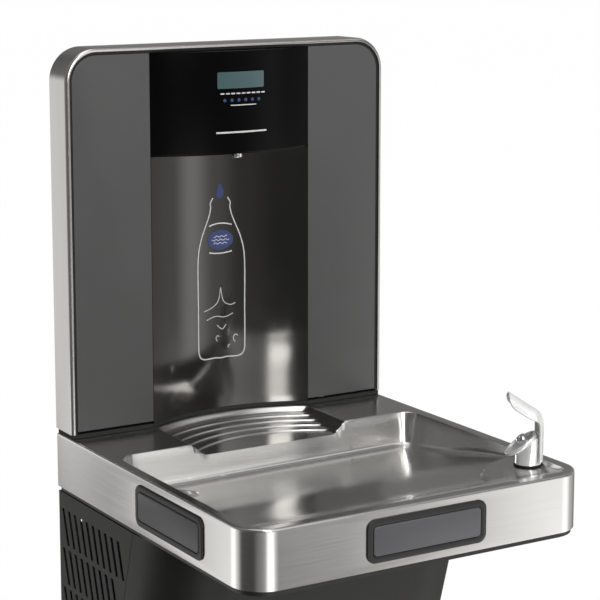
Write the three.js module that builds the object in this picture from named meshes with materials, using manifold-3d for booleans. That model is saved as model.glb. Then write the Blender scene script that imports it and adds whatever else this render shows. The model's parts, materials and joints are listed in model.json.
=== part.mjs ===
// Wall-mounted refrigerated drinking fountain with a bottle-filling tower.
// Millimetres, +Z up. X runs along the wall, +X to the right of a person facing the fountain,
// and +Y points into the wall. Everything is drawn with Z = 0 on the basin rim; the last
// lines lift it so that the origin lies on the wall, in the middle of the cabinet back.

import * as THREE from "three";
import { mergeVertices } from "three/addons/utils/BufferGeometryUtils.js";
import Module from "manifold-3d";

const wasm = await Module();
wasm.setup();

// ---------------------------------------------------------------- driving dimensions

const width = 467;               // basin, tower and cabinet, 18 3/8 in
const basinDepth = 490;          // wall to apron face
const apronHeight = 70;
const cornerRadius = 40;         // vertical front corners of the apron
const rimWidth = 15;             // flat rim beside the bowl
const deckDepth = 143;           // wall to the back edge of the bowl
const bowlDepth = 45.5;          // below the rim, at the back wall
const towerHeight = 492;         // above the rim
const towerDepth = 48;
const towerRadius = 42;          // top corners
const alcoveHalf = 116.7;        // half width of the alcove and the head
const alcoveSag = 30.5;          // how far the alcove sinks behind the front panels
const headBottom = 351.5;
const headBulge = 28;            // how far the head stands out of the front panels
const cabinetBottom = -511;
const cabinetRadius = 90;        // vertical front corners of the cabinet
const barWidth = 164;            // push-bar bezel
const barHeight = 51;
const barTravel = 4;
const rimAboveMount = 250;       // basin rim above the wall mount

const sheet = 2;                 // sheet metal and moulded walls
const gap = 0.3;                 // between neighbouring pieces
const halfWidth = width / 2;
const panelFace = -towerDepth + 1.5;      // front of the tower's flat panels
const gasketTop = 5.7;                    // dark joint between deck and tower
const towerBottom = gasketTop + gap;
const fineSteps = 6;                      // segments on each rounded corner
const roundSteps = 24;                    // segments round a full turn

// ---------------------------------------------------------------- solids and booleans

function toSolid(geometry) {
  const bare = geometry.clone();
  bare.deleteAttribute("normal");
  bare.deleteAttribute("uv");
  const merged = mergeVertices(bare, 1e-4);
  return new wasm.Manifold(new wasm.Mesh({
    numProp: 3,
    vertProperties: new Float32Array(merged.attributes.position.array),
    triVerts: new Uint32Array(merged.index.array),
  }));
}

function toGeometry(solid) {
  const mesh = solid.getMesh();
  const geometry = new THREE.BufferGeometry();
  geometry.setAttribute("position", new THREE.BufferAttribute(new Float32Array(mesh.vertProperties), 3));
  geometry.setIndex(new THREE.BufferAttribute(new Uint32Array(mesh.triVerts), 1));
  geometry.computeVertexNormals();
  return geometry;
}

function join(...geometries) {
  return toGeometry(geometries.map(toSolid).reduce((sum, next) => sum.add(next)));
}

function cut(body, ...tools) {
  return toGeometry(tools.map(toSolid).reduce((left, tool) => left.subtract(tool), toSolid(body)));
}

function overlap(first, second) {
  return toGeometry(toSolid(first).intersect(toSolid(second)));
}

// ---------------------------------------------------------------- shapes

function box(x0, x1, y0, y1, z0, z1) {
  return new THREE.BoxGeometry(x1 - x0, y1 - y0, z1 - z0)
    .translate((x0 + x1) / 2, (y0 + y1) / 2, (z0 + z1) / 2);
}

// A rectangle whose corners have radii given in the order low-low, high-low, high-high, low-high.
function roundedRect(u0, u1, v0, v1, radii) {
  const [r1, r2, r3, r4] = Array.isArray(radii) ? radii : [radii, radii, radii, radii];
  const shape = new THREE.Shape();
  shape.moveTo(u0 + r1, v0);
  shape.lineTo(u1 - r2, v0);
  if (r2) shape.absarc(u1 - r2, v0 + r2, r2, -Math.PI / 2, 0, false);
  shape.lineTo(u1, v1 - r3);
  if (r3) shape.absarc(u1 - r3, v1 - r3, r3, 0, Math.PI / 2, false);
  shape.lineTo(u0 + r4, v1);
  if (r4) shape.absarc(u0 + r4, v1 - r4, r4, Math.PI / 2, Math.PI, false);
  shape.lineTo(u0, v0 + r1);
  if (r1) shape.absarc(u0 + r1, v0 + r1, r1, Math.PI, 1.5 * Math.PI, false);
  return shape;
}

function polygon(points) {
  return new THREE.Shape(points.map(([u, v]) => new THREE.Vector2(u, v)));
}

function extrude(shape, length, steps) {
  return new THREE.ExtrudeGeometry(shape, {
    depth: length, bevelEnabled: false, curveSegments: Math.ceil(steps / 2),
  });
}

// A plan shape (X, Y) raised from z0 to z1.
function extrudeZ(shape, z0, z1, steps = fineSteps) {
  return extrude(shape, z1 - z0, steps).translate(0, 0, z0);
}

// A front-view shape (X, Z) running from y0 back to y1.
function extrudeY(shape, y0, y1, steps = fineSteps) {
  return extrude(shape, y1 - y0, steps).rotateX(Math.PI / 2).translate(0, y1, 0);
}

// A side-view shape (Y, Z) running from x0 to x1.
function extrudeX(shape, x0, x1, steps = fineSteps) {
  const turn = new THREE.Matrix4().makeBasis(
    new THREE.Vector3(0, 1, 0), new THREE.Vector3(0, 0, 1), new THREE.Vector3(1, 0, 0));
  return extrude(shape, x1 - x0, steps).applyMatrix4(turn).translate(x0, 0, 0);
}

// A turned part: profile points are (radius, height) from the bottom up, about +Z.
function turned(profile, steps = roundSteps) {
  return new THREE.LatheGeometry(profile.map(([r, z]) => new THREE.Vector2(r, z)), steps)
    .rotateX(Math.PI / 2);
}

function disc(radius, z0, z1, steps = roundSteps) {
  return turned([[0, z0], [radius, z0], [radius, z1], [0, z1]], steps);
}

function ring(inner, outer, z0, z1, steps = roundSteps) {
  return turned([[inner, z0], [outer, z0], [outer, z1], [inner, z1], [inner, z0]], steps);
}

function hexagon(acrossFlats, z0, z1) {
  return disc(acrossFlats / Math.sqrt(3), z0, z1, 6);
}

// Stands a part drawn about +Z along +Y or +X instead.
const alongY = (geometry) => geometry.rotateX(-Math.PI / 2);
const alongX = (geometry) => geometry.rotateY(Math.PI / 2);

// A bent tube through the given points, its corners rounded with the bend radius.
function pipe(points, radius, bend, { bore = 0, sides = 10, steps = 40 } = {}) {
  const corners = points.map((p) => new THREE.Vector3(...p));
  const path = new THREE.CurvePath();
  let from = corners[0];
  for (let i = 1; i < corners.length - 1; i += 1) {
    const before = corners[i].clone().sub(corners[i - 1]).setLength(bend);
    const after = corners[i + 1].clone().sub(corners[i]).setLength(bend);
    const enter = corners[i].clone().sub(before);
    const leave = corners[i].clone().add(after);
    path.add(new THREE.LineCurve3(from, enter));
    path.add(new THREE.QuadraticBezierCurve3(enter, corners[i], leave));
    from = leave;
  }
  path.add(new THREE.LineCurve3(from, corners[corners.length - 1]));
  const section = polygon(circlePoints(radius, sides));
  if (bore) section.holes.push(polygon(circlePoints(bore, sides).reverse()));
  return new THREE.ExtrudeGeometry(section, { extrudePath: path, steps });
}

function circlePoints(radius, count) {
  return Array.from({ length: count }, (_, i) => {
    const angle = (2 * Math.PI * i) / count;
    return [radius * Math.cos(angle), radius * Math.sin(angle)];
  });
}

// Joins closed outlines, each a list of [x, y, z] with the same count, into one capped solid.
function loft(outlines) {
  const count = outlines[0].length;
  const last = (outlines.length - 1) * count;
  const flat = outlines[0].map(([x, y]) => new THREE.Vector2(x, y));
  const index = [];
  outlines.slice(1).forEach((_, level) => {
    for (let i = 0; i < count; i += 1) {
      const a = level * count + i;
      const b = level * count + (i + 1) % count;
      index.push(a, b, a + count, b, b + count, a + count);
    }
  });
  for (const [a, b, c] of THREE.ShapeUtils.triangulateShape(flat, [])) {
    index.push(c, b, a, last + a, last + b, last + c);
  }
  const geometry = new THREE.BufferGeometry();
  geometry.setAttribute("position", new THREE.Float32BufferAttribute(outlines.flat(2), 3));
  geometry.setIndex(index);
  return geometry;
}

function levelOutline(shape, z, steps = fineSteps) {
  return shape.getPoints(Math.ceil(steps / 2)).slice(0, -1).map((p) => [p.x, p.y, z]);
}

// ---------------------------------------------------------------- the assembly

const fountain = new THREE.Group();
fountain.name = "drinking_fountain";

const finishes = {
  brushed: { color: 0xb9b8b4, roughness: 0.35, metalness: 1 },
  chrome: { color: 0xdcdde0, roughness: 0.08, metalness: 1 },
  galvanised: { color: 0x9a9c9c, roughness: 0.5, metalness: 1 },
  brass: { color: 0xb59a55, roughness: 0.35, metalness: 1 },
  panelGrey: { color: 0x55565a, roughness: 0.4, metalness: 0.6 },
  smoked: { color: 0x2b2a29, roughness: 0.12, metalness: 0.1 },
  glossBlack: { color: 0x0c0c0d, roughness: 0.08, metalness: 0 },
  softBlack: { color: 0x151516, roughness: 0.6, metalness: 0 },
  padGrey: { color: 0x5a5b60, roughness: 0.5, metalness: 0 },
  cabinetGrey: { color: 0x3a3a3b, roughness: 0.5, metalness: 0.3 },
  display: { color: 0x6f8791, roughness: 0.2, metalness: 0 },
  board: { color: 0x1f5a35, roughness: 0.5, metalness: 0 },
  white: { color: 0xe6e6e2, roughness: 0.4, metalness: 0 },
  foam: { color: 0x3c3c3a, roughness: 0.9, metalness: 0 },
};

function piece(name, geometry, finish) {
  const mesh = new THREE.Mesh(geometry, new THREE.MeshStandardMaterial(finishes[finish]));
  mesh.name = name;
  fountain.add(mesh);
}

// ---------------------------------------------------------------- tower

// The tower's arched front view, inset all round except at its open bottom.
function arch(inset, bottom, top = towerHeight) {
  const radius = towerRadius - inset;
  const half = halfWidth - inset;
  return roundedRect(-half, half, bottom, top - inset, [0, 0, radius, radius]);
}

const lipWidth = 5;              // front lip of the band
const trimWidth = 3.5;           // dark joint round the panels
const panelInset = lipWidth + trimWidth + gap;
const backPlateFront = -3;

function addTowerShell() {
  const band = cut(
    extrudeY(arch(0, towerBottom), -towerDepth, 0),
    extrudeY(arch(sheet, 0), -towerDepth + sheet, 1),
    extrudeY(arch(lipWidth, 0), -towerDepth - 1, 1),
  );
  piece("tower_band", band, "brushed");
  const trim = cut(
    extrudeY(arch(lipWidth + gap, towerBottom), panelFace + 0.5, -36),
    extrudeY(arch(panelInset, 0), -towerDepth, -30),
  );
  piece("tower_trim", trim, "softBlack");
  const boltHole = (x, z) => alongY(disc(3.5, -6, 6, 12)).translate(x, -2, z);
  const backPlate = cut(
    extrudeY(arch(sheet + gap, towerBottom), backPlateFront, -1),
    ...[-1, 1].flatMap((side) => [60, 430].map((z) => boltHole(side * 180, z))),
  );
  piece("tower_back_plate", backPlate, "galvanised");
}

// Front panels: the arched sheet without its middle, which the head and alcove take.
function addFrontPanels() {
  const blank = () => extrudeY(arch(panelInset, towerBottom + 3), panelFace, panelFace + sheet);
  const inner = alcoveHalf + gap;
  const outer = halfWidth + 10;
  const sides = { left: [-inner, outer], right: [-outer, inner] };
  for (const [side, [x0, x1]] of Object.entries(sides)) {
    const away = box(x0, x1, -towerDepth - 5, 0, -10, towerHeight + 10);
    piece(`front_panel_${side}`, cut(blank(), away), "panelGrey");
  }
}

// Radius of the arc that spans the alcove's width with the given sag.
const arcRadius = (sag) => (alcoveHalf ** 2 + sag ** 2) / (2 * sag);
const alcoveRadius = arcRadius(alcoveSag);
const alcoveCentreY = panelFace + alcoveSag - alcoveRadius;
const headRadius = arcRadius(headBulge);
const headCentreY = panelFace - headBulge + headRadius;
const arcSteps = 72;

// A plan disc about an arc centre, cut to the alcove's width.
function arcPlan(centreY, radius, half, y0, y1, z0, z1) {
  const round = disc(radius, z0, z1, arcSteps).translate(0, centreY, 0);
  return overlap(round, box(-half, half, y0, y1, z0 - 1, z1 + 1));
}

function addAlcove() {
  const top = headBottom - gap;
  const front = panelFace - 0.5;
  const liner = cut(
    arcPlan(alcoveCentreY, alcoveRadius + sheet, alcoveHalf, front, 0, towerBottom, top),
    disc(alcoveRadius, 0, top + 1, arcSteps).translate(0, alcoveCentreY, 0),
  );
  piece("alcove_liner", liner, "smoked");
  const sensor = join(
    box(-22, 22, -12.4, -5, 150, 176),
    alongY(disc(5, 0, 3, 12)).translate(0, -6, 163),
  );
  piece("bottle_sensor", sensor, "softBlack");
}

const headTop = towerHeight - panelInset;
const nozzleY = -62;
const valveAt = { x: 150, y: -27 };
const tankAt = { x: -85, y: -110 };
const windowSize = { x0: -34, x1: 34, z0: 436, z1: 457 };

function addHead() {
  const outerPlan = (inset, z0, z1, back) => arcPlan(
    headCentreY, headRadius - inset, alcoveHalf - inset, -towerDepth - 60, back, z0, z1);
  const { x0, x1, z0, z1 } = windowSize;
  const alcoveEdge = disc(alcoveRadius - gap, headBottom - 1, headTop + 1, arcSteps)
    .translate(0, alcoveCentreY, 0);
  const back = overlap(box(-alcoveHalf, alcoveHalf, -60, -13, headBottom, headBottom + sheet), alcoveEdge);
  const cover = cut(
    join(outerPlan(0, headBottom, headTop, panelFace + sheet), back),
    outerPlan(sheet, headBottom + sheet, headTop - sheet, panelFace + sheet + 1),
    box(x0, x1, -90, -60, z0, z1),
    disc(9, headBottom - 5, headBottom + 10, 20).translate(0, nozzleY, 0),
  );
  piece("head_cover", cover, "glossBlack");
  const lens = overlap(
    cut(outerPlan(0.4, z0 - 5, z1 + 5, -60), outerPlan(sheet, z0 - 9, z1 + 9, -50)),
    box(x0 + gap, x1 - gap, -90, -62, z0 + gap, z1 - gap),
  );
  piece("display_window", lens, "display");
  const board = join(
    box(-48, 48, -61, -59, 398, 468),
    box(-33, 33, -67, -60.5, 434, 460),
    box(-40, -18, -59.5, -52, 402, 412),
  );
  piece("display_board", board, "board");
}

function addFiller() {
  const nozzle = turned([
    [2.5, -6], [5.2, -6], [7, -4.5], [7, -gap], [8.5, -gap], [8.5, 8], [6, 10], [6, 16], [2.5, 16], [2.5, -6],
  ], 24).translate(0, nozzleY, headBottom);
  piece("fill_nozzle", nozzle, "chrome");
  const behindPanel = valveAt.y;
  const line = pipe([
    [0, nozzleY, headBottom + 16 + gap], [0, nozzleY, 384], [0, behindPanel, 384],
    [valveAt.x, behindPanel, 384], [valveAt.x, behindPanel, 166 + gap],
  ], 4, 10, { sides: 6, steps: 26 });
  piece("fill_line", line, "white");
  const tankTop = -110;
  const supply = pipe([
    [valveAt.x, valveAt.y, 90 - gap], [valveAt.x, valveAt.y, -88], [tankAt.x, valveAt.y, -88],
    [tankAt.x, tankAt.y, -88], [tankAt.x, tankAt.y, tankTop + gap],
  ], 4, 10, { sides: 6, steps: 34 });
  piece("fill_supply_line", supply, "white");
  const valve = join(
    box(-16, 16, -15, 15, 120, 150), disc(13, 90, 121, 16), disc(7, 149, 166, 12),
  ).translate(valveAt.x, valveAt.y, 0);
  piece("fill_valve", valve, "white");
}

// The joint the tower stands on, following the alcove's arc at the front.
function addTowerGasket() {
  const inset = 2;
  const half = halfWidth - inset;
  const front = -towerDepth + inset;
  const sheetBlank = box(-half, half, front, -inset, gap, gasketTop);
  const chamber = (side) => box(
    Math.min(side * 126, side * 222), Math.max(side * 126, side * 222), -38, -10, 0, 8);
  const alcove = disc(alcoveRadius + 1, -1, 10, arcSteps).translate(0, alcoveCentreY, 0);
  const gasket = cut(sheetBlank, chamber(-1), chamber(1),
    overlap(alcove, box(-alcoveHalf, alcoveHalf, -60, 0, -2, 11)));
  piece("tower_gasket", gasket, "softBlack");
}

// ---------------------------------------------------------------- basin

const frontFace = -basinDepth;
const recessHalf = 115;          // bottle recess at the deck
const recessFoot = 96;           // and at its floor
const recessFloor = -15.5;
const stepDrop = 4;
const stepPitch = 17;
const bowlFront = frontFace + 14;
const bowlBack = -deckDepth;
const bowlHalf = halfWidth - rimWidth;
const floorLean = 0.012;         // radians, down to the left
const platformZ = -6;
const platformRadius = 104;
const bubblerAt = { x: 199, y: -414 };
const drainAt = { x: -172, y: -194 };
const sumpFloor = -52;
const barCentreZ = -35.5;

// The bowl's hollow: steep walls, and a floor that rises to the front rim and leans to the left.
function bowlHollow(grow) {
  const top = grow ? -1 : 1;
  const wallLean = 7;
  const outline = (inset, z) => levelOutline(
    roundedRect(-bowlHalf + inset, bowlHalf - inset, bowlFront + inset / 2, bowlBack - inset,
      [24, 24, 20, 20]), z);
  const walls = loft([outline(wallLean - grow, -70), outline(-grow, top)]);
  const floor = extrudeX(polygon([
    [bowlBack + 60, -bowlDepth - grow], [bowlBack - 7, -bowlDepth - grow], [bowlBack - 62, -41 - grow],
    [bowlBack - 219, -13.5 - grow], [bowlFront + 34, -9.5 - grow], [bowlFront + 14, -3 - grow],
    [bowlFront, -grow], [bowlFront - 30, -grow], [bowlFront - 30, 40], [bowlBack + 60, 40],
  ]), -300, 300).rotateY(-floorLean);
  const flare = 12;
  const platform = turned([
    [0, -80], [platformRadius + flare - grow, -80], [platformRadius + flare - grow, -24],
    [platformRadius - grow, platformZ - grow], [0, platformZ - grow],
  ], 48).translate(bowlHalf, bowlFront, 0);
  return cut(overlap(walls, floor), platform);
}

// The bottle recess: terraces that follow the alcove's arc, between slanted side walls.
function recessHollow(grow) {
  const top = grow ? -1 : 1;
  const terraces = [1, 2, 3, 4].map((level) => disc(
    alcoveRadius - 10 - level * stepPitch + grow,
    Math.max(-level * stepDrop, recessFloor) - grow, top, arcSteps).translate(0, alcoveCentreY, 0));
  const side = (half, z) => levelOutline(
    roundedRect(-half - grow, half + grow, bowlBack - 9, -20, 0), z);
  const slant = (recessHalf - recessFoot) / -recessFloor;
  const walls = loft([side(recessFoot - slant * 10, recessFloor - 10), side(recessHalf + slant * top, top)]);
  return overlap(join(...terraces), walls);
}

function drainSump(grow) {
  return disc(33 + grow, sumpFloor - grow, grow ? -45 : -30, 32).translate(drainAt.x, drainAt.y, 0);
}

function apronBlock(inset, z0, z1) {
  const radius = cornerRadius - inset;
  const rim = 2.5;
  const plan = (shrink) => roundedRect(
    -halfWidth + inset + shrink, halfWidth - inset - shrink, frontFace + inset + shrink, -inset,
    [radius - shrink, radius - shrink, 3, 3]);
  const levels = inset ? [[0, z0], [0, z1]] : [[0, z0], [0, z1 - rim], [rim, z1]];
  return loft(levels.map(([shrink, z]) => levelOutline(plan(shrink), z, 8)));
}

// Moves a push-bar part drawn for the front apron (face at y = 0, outward -Y) to a side.
const barPlaces = {
  front: (geometry) => geometry.translate(0, frontFace, barCentreZ),
  left: (geometry) => geometry.rotateZ(-Math.PI / 2).translate(-halfWidth, -308, barCentreZ),
  right: (geometry) => geometry.rotateZ(Math.PI / 2).translate(halfWidth, -308, barCentreZ),
};

function barPlate(margin, y0, y1, radius) {
  const halfW = barWidth / 2 - margin;
  const halfH = barHeight / 2 - margin;
  return extrudeY(roundedRect(-halfW, halfW, -halfH, halfH, radius), y0, y1, 4);
}

function addBasin() {
  const shell = cut(apronBlock(0, -apronHeight, 0), apronBlock(sheet, -apronHeight - 1, -sheet));
  const tub = overlap(
    join(bowlHollow(sheet), recessHollow(sheet), drainSump(sheet)),
    apronBlock(1, -apronHeight, -1));
  const openings = Object.values(barPlaces).map((place) => place(barPlate(3, -10, 10, 6)));
  const basin = cut(
    join(shell, tub),
    bowlHollow(0), recessHollow(0), drainSump(0),
    disc(20, sumpFloor - 5, sumpFloor + 5, 24).translate(drainAt.x, drainAt.y, 0),
    disc(11, -20, 0, 20).translate(bubblerAt.x, bubblerAt.y, 0),
    disc(9, -10, 5, 16).translate(valveAt.x, valveAt.y, 0),
    ...openings,
  );
  piece("basin_top", basin, "brushed");
  const panInset = sheet + 1;
  const pan = cut(
    loft([-76, -64].map((z) => levelOutline(
      roundedRect(-halfWidth + panInset, halfWidth - panInset, frontFace + panInset, -panInset,
        [cornerRadius - panInset, cornerRadius - panInset, 3, 3]), z, 8))),
    loft([-74, -60].map((z) => levelOutline(
      roundedRect(-halfWidth + 5, halfWidth - 5, frontFace + 5, -5, [35, 35, 3, 3]), z, 8))),
    box(-200, 200, -230, -20, -80, -70),
  );
  piece("basin_underpan", pan, "softBlack");
}

function addDrain() {
  const { x, y } = drainAt;
  const flangeTop = sumpFloor + gap + 1.5;
  const body = turned([
    [16, -92], [19, -92], [19, sumpFloor - 3], [19, sumpFloor + gap], [30, sumpFloor + gap],
    [30, flangeTop], [16, flangeTop], [16, -92],
  ], 24).translate(x, y, 0);
  piece("drain_body", body, "chrome");
  const strainerZ = flangeTop + gap;
  const slots = Array.from({ length: 8 }, (_, i) => box(12, 24, -1.8, 1.8, strainerZ - 5, strainerZ + 9)
    .rotateZ((i * Math.PI) / 4).translate(x, y, 0));
  const strainer = cut(
    turned([
      [0, strainerZ], [31, strainerZ], [31, strainerZ + 1.5], [10, strainerZ + 3.5],
      [5, strainerZ + 3.5], [4, strainerZ + 5], [0, strainerZ + 5],
    ], 32).translate(x, y, 0),
    ...slots,
  );
  piece("drain_strainer", strainer, "brushed");
  const trapFoot = -385;
  const trapReach = 74;
  const waste = pipe([
    [x, y, -70], [x, y, trapFoot], [x, y + trapReach, trapFoot], [x, y + trapReach, wasteOutletZ],
    [x, -0.5, wasteOutletZ],
  ], 15.6, 26, { bore: 13.5, sides: 8, steps: 26 });
  piece("waste_pipe", waste, "chrome");
}

// ---------------------------------------------------------------- bubbler

// Drawn about its own axis with -X towards the bowl, then turned to face the bowl's middle.
const bubblerTurn = Math.atan2(bubblerAt.y - -310, bubblerAt.x);
const dishTilt = THREE.MathUtils.degToRad(35);
const dishCentre = { x: -8.5, z: 29 };
const orificeAt = 5;             // up the dish from its centre

function placeBubbler(geometry) {
  return geometry.rotateZ(bubblerTurn).translate(bubblerAt.x, bubblerAt.y, platformZ);
}

function onDish(geometry) {
  return geometry.rotateY(-dishTilt).translate(dishCentre.x, 0, dishCentre.z);
}

function addBubbler() {
  piece("bubbler_gasket", placeBubbler(ring(10.5, 18.8, gap, 2.2, 28)), "softBlack");
  const body = cut(
    join(
      cut(disc(18, 2.5, 60, 28), onDish(box(-80, 80, -40, 40, -2, 80))),
      onDish(disc(24, -5.5, 0, 32)),
      disc(9, -34, 4, 20),
    ),
    onDish(turned([[0, -2], [14, -2], [20, 1], [0, 1]], 32)),
    onDish(disc(4, -9, 2, 14).translate(orificeAt, 0, 0)),
    box(18.2, 60, -40, 40, 0, 80),
  );
  piece("bubbler_body", placeBubbler(body), "chrome");
  const nozzle = onDish(turned([
    [2, -8], [3.7, -8], [3.7, -1.6], [6.5, -1.6], [6.5, 5], [5.5, 6], [2, 6], [2, -8],
  ], 20).translate(orificeAt, 0, 0));
  piece("bubbler_nozzle", placeBubbler(nozzle), "chrome");
  piece("bubbler_locknut", placeBubbler(cut(hexagon(30, -12, -4.4), disc(9.3, -20, 0, 20))), "brass");
  addMouthGuard();
  const under = -50;
  const line = pipe([
    [bubblerAt.x, bubblerAt.y, platformZ - 34 - gap], [bubblerAt.x, bubblerAt.y, under],
    [110, -240, under - 10], [110, -100, under - 10], [110, -100, -127.5],
  ], 3.2, 9, { sides: 6, steps: 30 });
  piece("bubbler_line", line, "white");
}

// A strap up the back of the bubbler that curls over the mouthpiece as a rounded tongue.
function addMouthGuard() {
  const strap = new THREE.Shape();
  strap.moveTo(21.5, 6.5);
  strap.lineTo(21.5, 55);
  strap.quadraticCurveTo(21.5, 66, 10, 72);
  strap.quadraticCurveTo(-8, 83, -22, 92);
  strap.quadraticCurveTo(-15, 74, 4, 61);
  strap.quadraticCurveTo(18.5, 53, 18.5, 46);
  strap.lineTo(18.5, 6.5);
  const tongue = new THREE.Shape();
  tongue.moveTo(0, 12);
  tongue.absarc(0, 0, 16, Math.PI / 2, 1.5 * Math.PI, false);
  tongue.lineTo(40, -16);
  tongue.lineTo(40, 16);
  const profile = extrudeY(strap, -17, 17, 12);
  const outline = extrudeZ(tongue, 0, 100, 16).translate(-7, 0, 0);
  piece("mouth_guard", placeBubbler(overlap(profile, outline)), "chrome");
}

// ---------------------------------------------------------------- push bars

function springCoil(length) {
  const turns = 4;
  const radius = 6;
  class Helix extends THREE.Curve {
    getPoint(t) {
      const angle = 2 * Math.PI * turns * t;
      return new THREE.Vector3(radius * Math.cos(angle), length * t, radius * Math.sin(angle));
    }
  }
  return new THREE.ExtrudeGeometry(polygon(circlePoints(0.8, 4)), {
    extrudePath: new Helix(), steps: turns * 9,
  });
}

// Posts, spring and switch sit in the lower half of the pad, clear of the bowl above them.
function addPushBar(side) {
  const place = barPlaces[side];
  const sleeveEnd = 13;
  const bracketFront = 21;
  const bracketBack = bracketFront + sheet;
  const padBack = 5;
  const postAt = { x: 52, z: -11 };
  const bracketTop = postAt.z + 6;
  const bracketFoot = postAt.z - 6;
  const rod = (radius, y0, y1, x = 0) => alongY(disc(radius, y0, y1, 12)).translate(x, 0, postAt.z);
  const bezel = cut(
    join(barPlate(0, -2.4, -gap, 8), barPlate(3.4, -1, sleeveEnd, 5.5)),
    barPlate(7.7, -5, sleeveEnd + 5, 4),
  );
  piece(`${side}_bar_bezel`, place(bezel), "softBlack");
  const post = (x) => join(
    rod(4, padBack - 1, bracketBack + 1, x), rod(6, bracketBack + gap, bracketBack + 2.5, x));
  const pad = join(barPlate(8, -3, padBack, 3.7), post(-postAt.x), post(postAt.x));
  piece(`${side}_bar_pad`, place(pad), "padGrey");
  const coilStart = padBack + 1;
  const coil = springCoil(bracketFront - 1 - coilStart).translate(0, coilStart, postAt.z);
  piece(`${side}_bar_spring`, place(coil), "galvanised");
  const bracket = cut(
    join(
      box(-70, 70, bracketFront, bracketBack, bracketFoot, bracketTop),
      box(-70, -68, sleeveEnd + gap, bracketBack, bracketFoot, bracketTop),
      box(68, 70, sleeveEnd + gap, bracketBack, bracketFoot, bracketTop),
    ),
    rod(4.3, 10, 40, -postAt.x),
    rod(4.3, 10, 40, postAt.x),
  );
  piece(`${side}_bar_bracket`, place(bracket), "galvanised");
  const switchFront = bracketBack + 2.5 + barTravel + gap;
  const microSwitch = join(
    box(-10, 10, switchFront + 1.5, switchFront + 12, -5, 5),
    box(-9, 9, switchFront, switchFront + 2, -3, 3),
  ).translate(postAt.x, 0, postAt.z);
  piece(`${side}_bar_switch`, place(microSwitch), "softBlack");
}

// ---------------------------------------------------------------- cabinet

const cabinetHalf = halfWidth - 1.5;
const cabinetTop = -76.5;
const slopeTop = { z: cabinetTop, front: -306 };
const slopeEnd = { z: -277, front: -246 };      // the front is upright below this height
const slotRows = 4;
const slotColumns = 11;
const wasteOutletZ = -330;
const inletAt = { x: 150, z: -400 };
const powerAt = { x: 90, z: -470 };
const inletRadius = 8.6;
const glandRadius = 7.6;

// Y of the cabinet front at a height, and of the seam where the louvred side begins.
function cabinetFrontY(z) {
  const t = Math.min(1, (slopeTop.z - z) / (slopeTop.z - slopeEnd.z));
  return THREE.MathUtils.lerp(slopeTop.front, slopeEnd.front, t);
}
const seamY = (z) => cabinetFrontY(z) + cabinetRadius + 4;

function shroudSection(inset, z, overBack) {
  const front = cabinetFrontY(z) + inset;
  const radius = cabinetRadius - inset;
  return levelOutline(roundedRect(
    -cabinetHalf + inset, cabinetHalf - inset, front, seamY(z) + overBack, [radius, radius, 0, 0]), z, 12);
}

function addCabinetShell() {
  const heights = [cabinetBottom, slopeEnd.z, cabinetTop];
  const outer = loft(heights.map((z) => shroudSection(0, z, -gap)));
  const inner = loft([cabinetBottom - 1, slopeEnd.z, cabinetTop + 1].map((z) => shroudSection(sheet, z, 6)));
  piece("cabinet_front", cut(outer, inner), "cabinetGrey");
  addSidePanel("left", -cabinetHalf, -cabinetHalf + sheet);
  addSidePanel("right", cabinetHalf - sheet, cabinetHalf);
  const inside = cabinetHalf - sheet - gap;
  const boltHole = (x, z) => alongY(disc(4, -6, 6, 12)).translate(x, 0, z);
  const back = cut(
    box(-inside, inside, -sheet, 0, cabinetBottom, cabinetTop),
    ...[-1, 1].flatMap((side) => [-120, -380].map((z) => boltHole(side * 200, z))),
    alongY(disc(18, -6, 6, 20)).translate(drainAt.x, 0, wasteOutletZ),
    alongY(disc(inletRadius + 0.4, -6, 6, 16)).translate(inletAt.x, 0, inletAt.z),
    alongY(disc(glandRadius + 0.4, -6, 6, 16)).translate(powerAt.x, 0, powerAt.z),
  );
  piece("cabinet_back", back, "galvanised");
  const baseShape = roundedRect(
    -inside, inside, cabinetFrontY(cabinetBottom) + sheet + gap, -sheet - gap, [87, 87, 0, 0]);
  piece("cabinet_base", extrudeZ(baseShape, cabinetBottom, cabinetBottom + sheet, 12), "galvanised");
  const hanger = extrudeX(polygon([
    [-2.4, -130], [-2.4, -90], [-12, -90], [-12, -102], [-10, -102], [-10, -92], [-4.4, -92], [-4.4, -130],
  ].reverse()), -170, 170);
  piece("hanger_bracket", hanger, "galvanised");
}

// The side panel with its slanted louvre slots in rows, as many as fit behind the seam.
function addSidePanel(side, x0, x1) {
  const edge = (z) => seamY(z) + 0.5;
  const panel = polygon([
    [edge(cabinetBottom), cabinetBottom], [-0.5, cabinetBottom], [-0.5, cabinetTop],
    [edge(cabinetTop), cabinetTop], [edge(slopeEnd.z), slopeEnd.z],
  ]);
  const firstSlot = { y: -9, z: -98 };
  const rowPitch = 52.5;
  const slotPitch = 17.4;
  const slotHeight = 46;
  const slotWidth = 7;
  const slotLean = -14;
  const slots = [];
  for (let row = 0; row < slotRows; row += 1) {
    const top = firstSlot.z - row * rowPitch;
    const bottom = top - slotHeight;
    for (let column = 0; column < slotColumns; column += 1) {
      const y = firstSlot.y - column * slotPitch;
      if (y + slotLean - slotWidth > edge(bottom) + 4) {
        slots.push(extrudeX(polygon([
          [y, top], [y - slotWidth, top], [y - slotWidth + slotLean, bottom], [y + slotLean, bottom],
        ]), x0 - 1, x1 + 1));
      }
    }
  }
  piece(`side_panel_${side}`, cut(extrudeX(panel, x0, x1), ...slots), "cabinetGrey");
}

// ---------------------------------------------------------------- cooling and water parts

const floorZ = cabinetBottom + sheet + gap;
const compressorAt = { x: -5, y: -125 };
const fanCentre = { x: 172, y: -105, z: -215 };
const filterAt = { x: 118, y: -165 };
const filterFoot = -482;
const controlAt = { x: -20, z: -150 };

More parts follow.
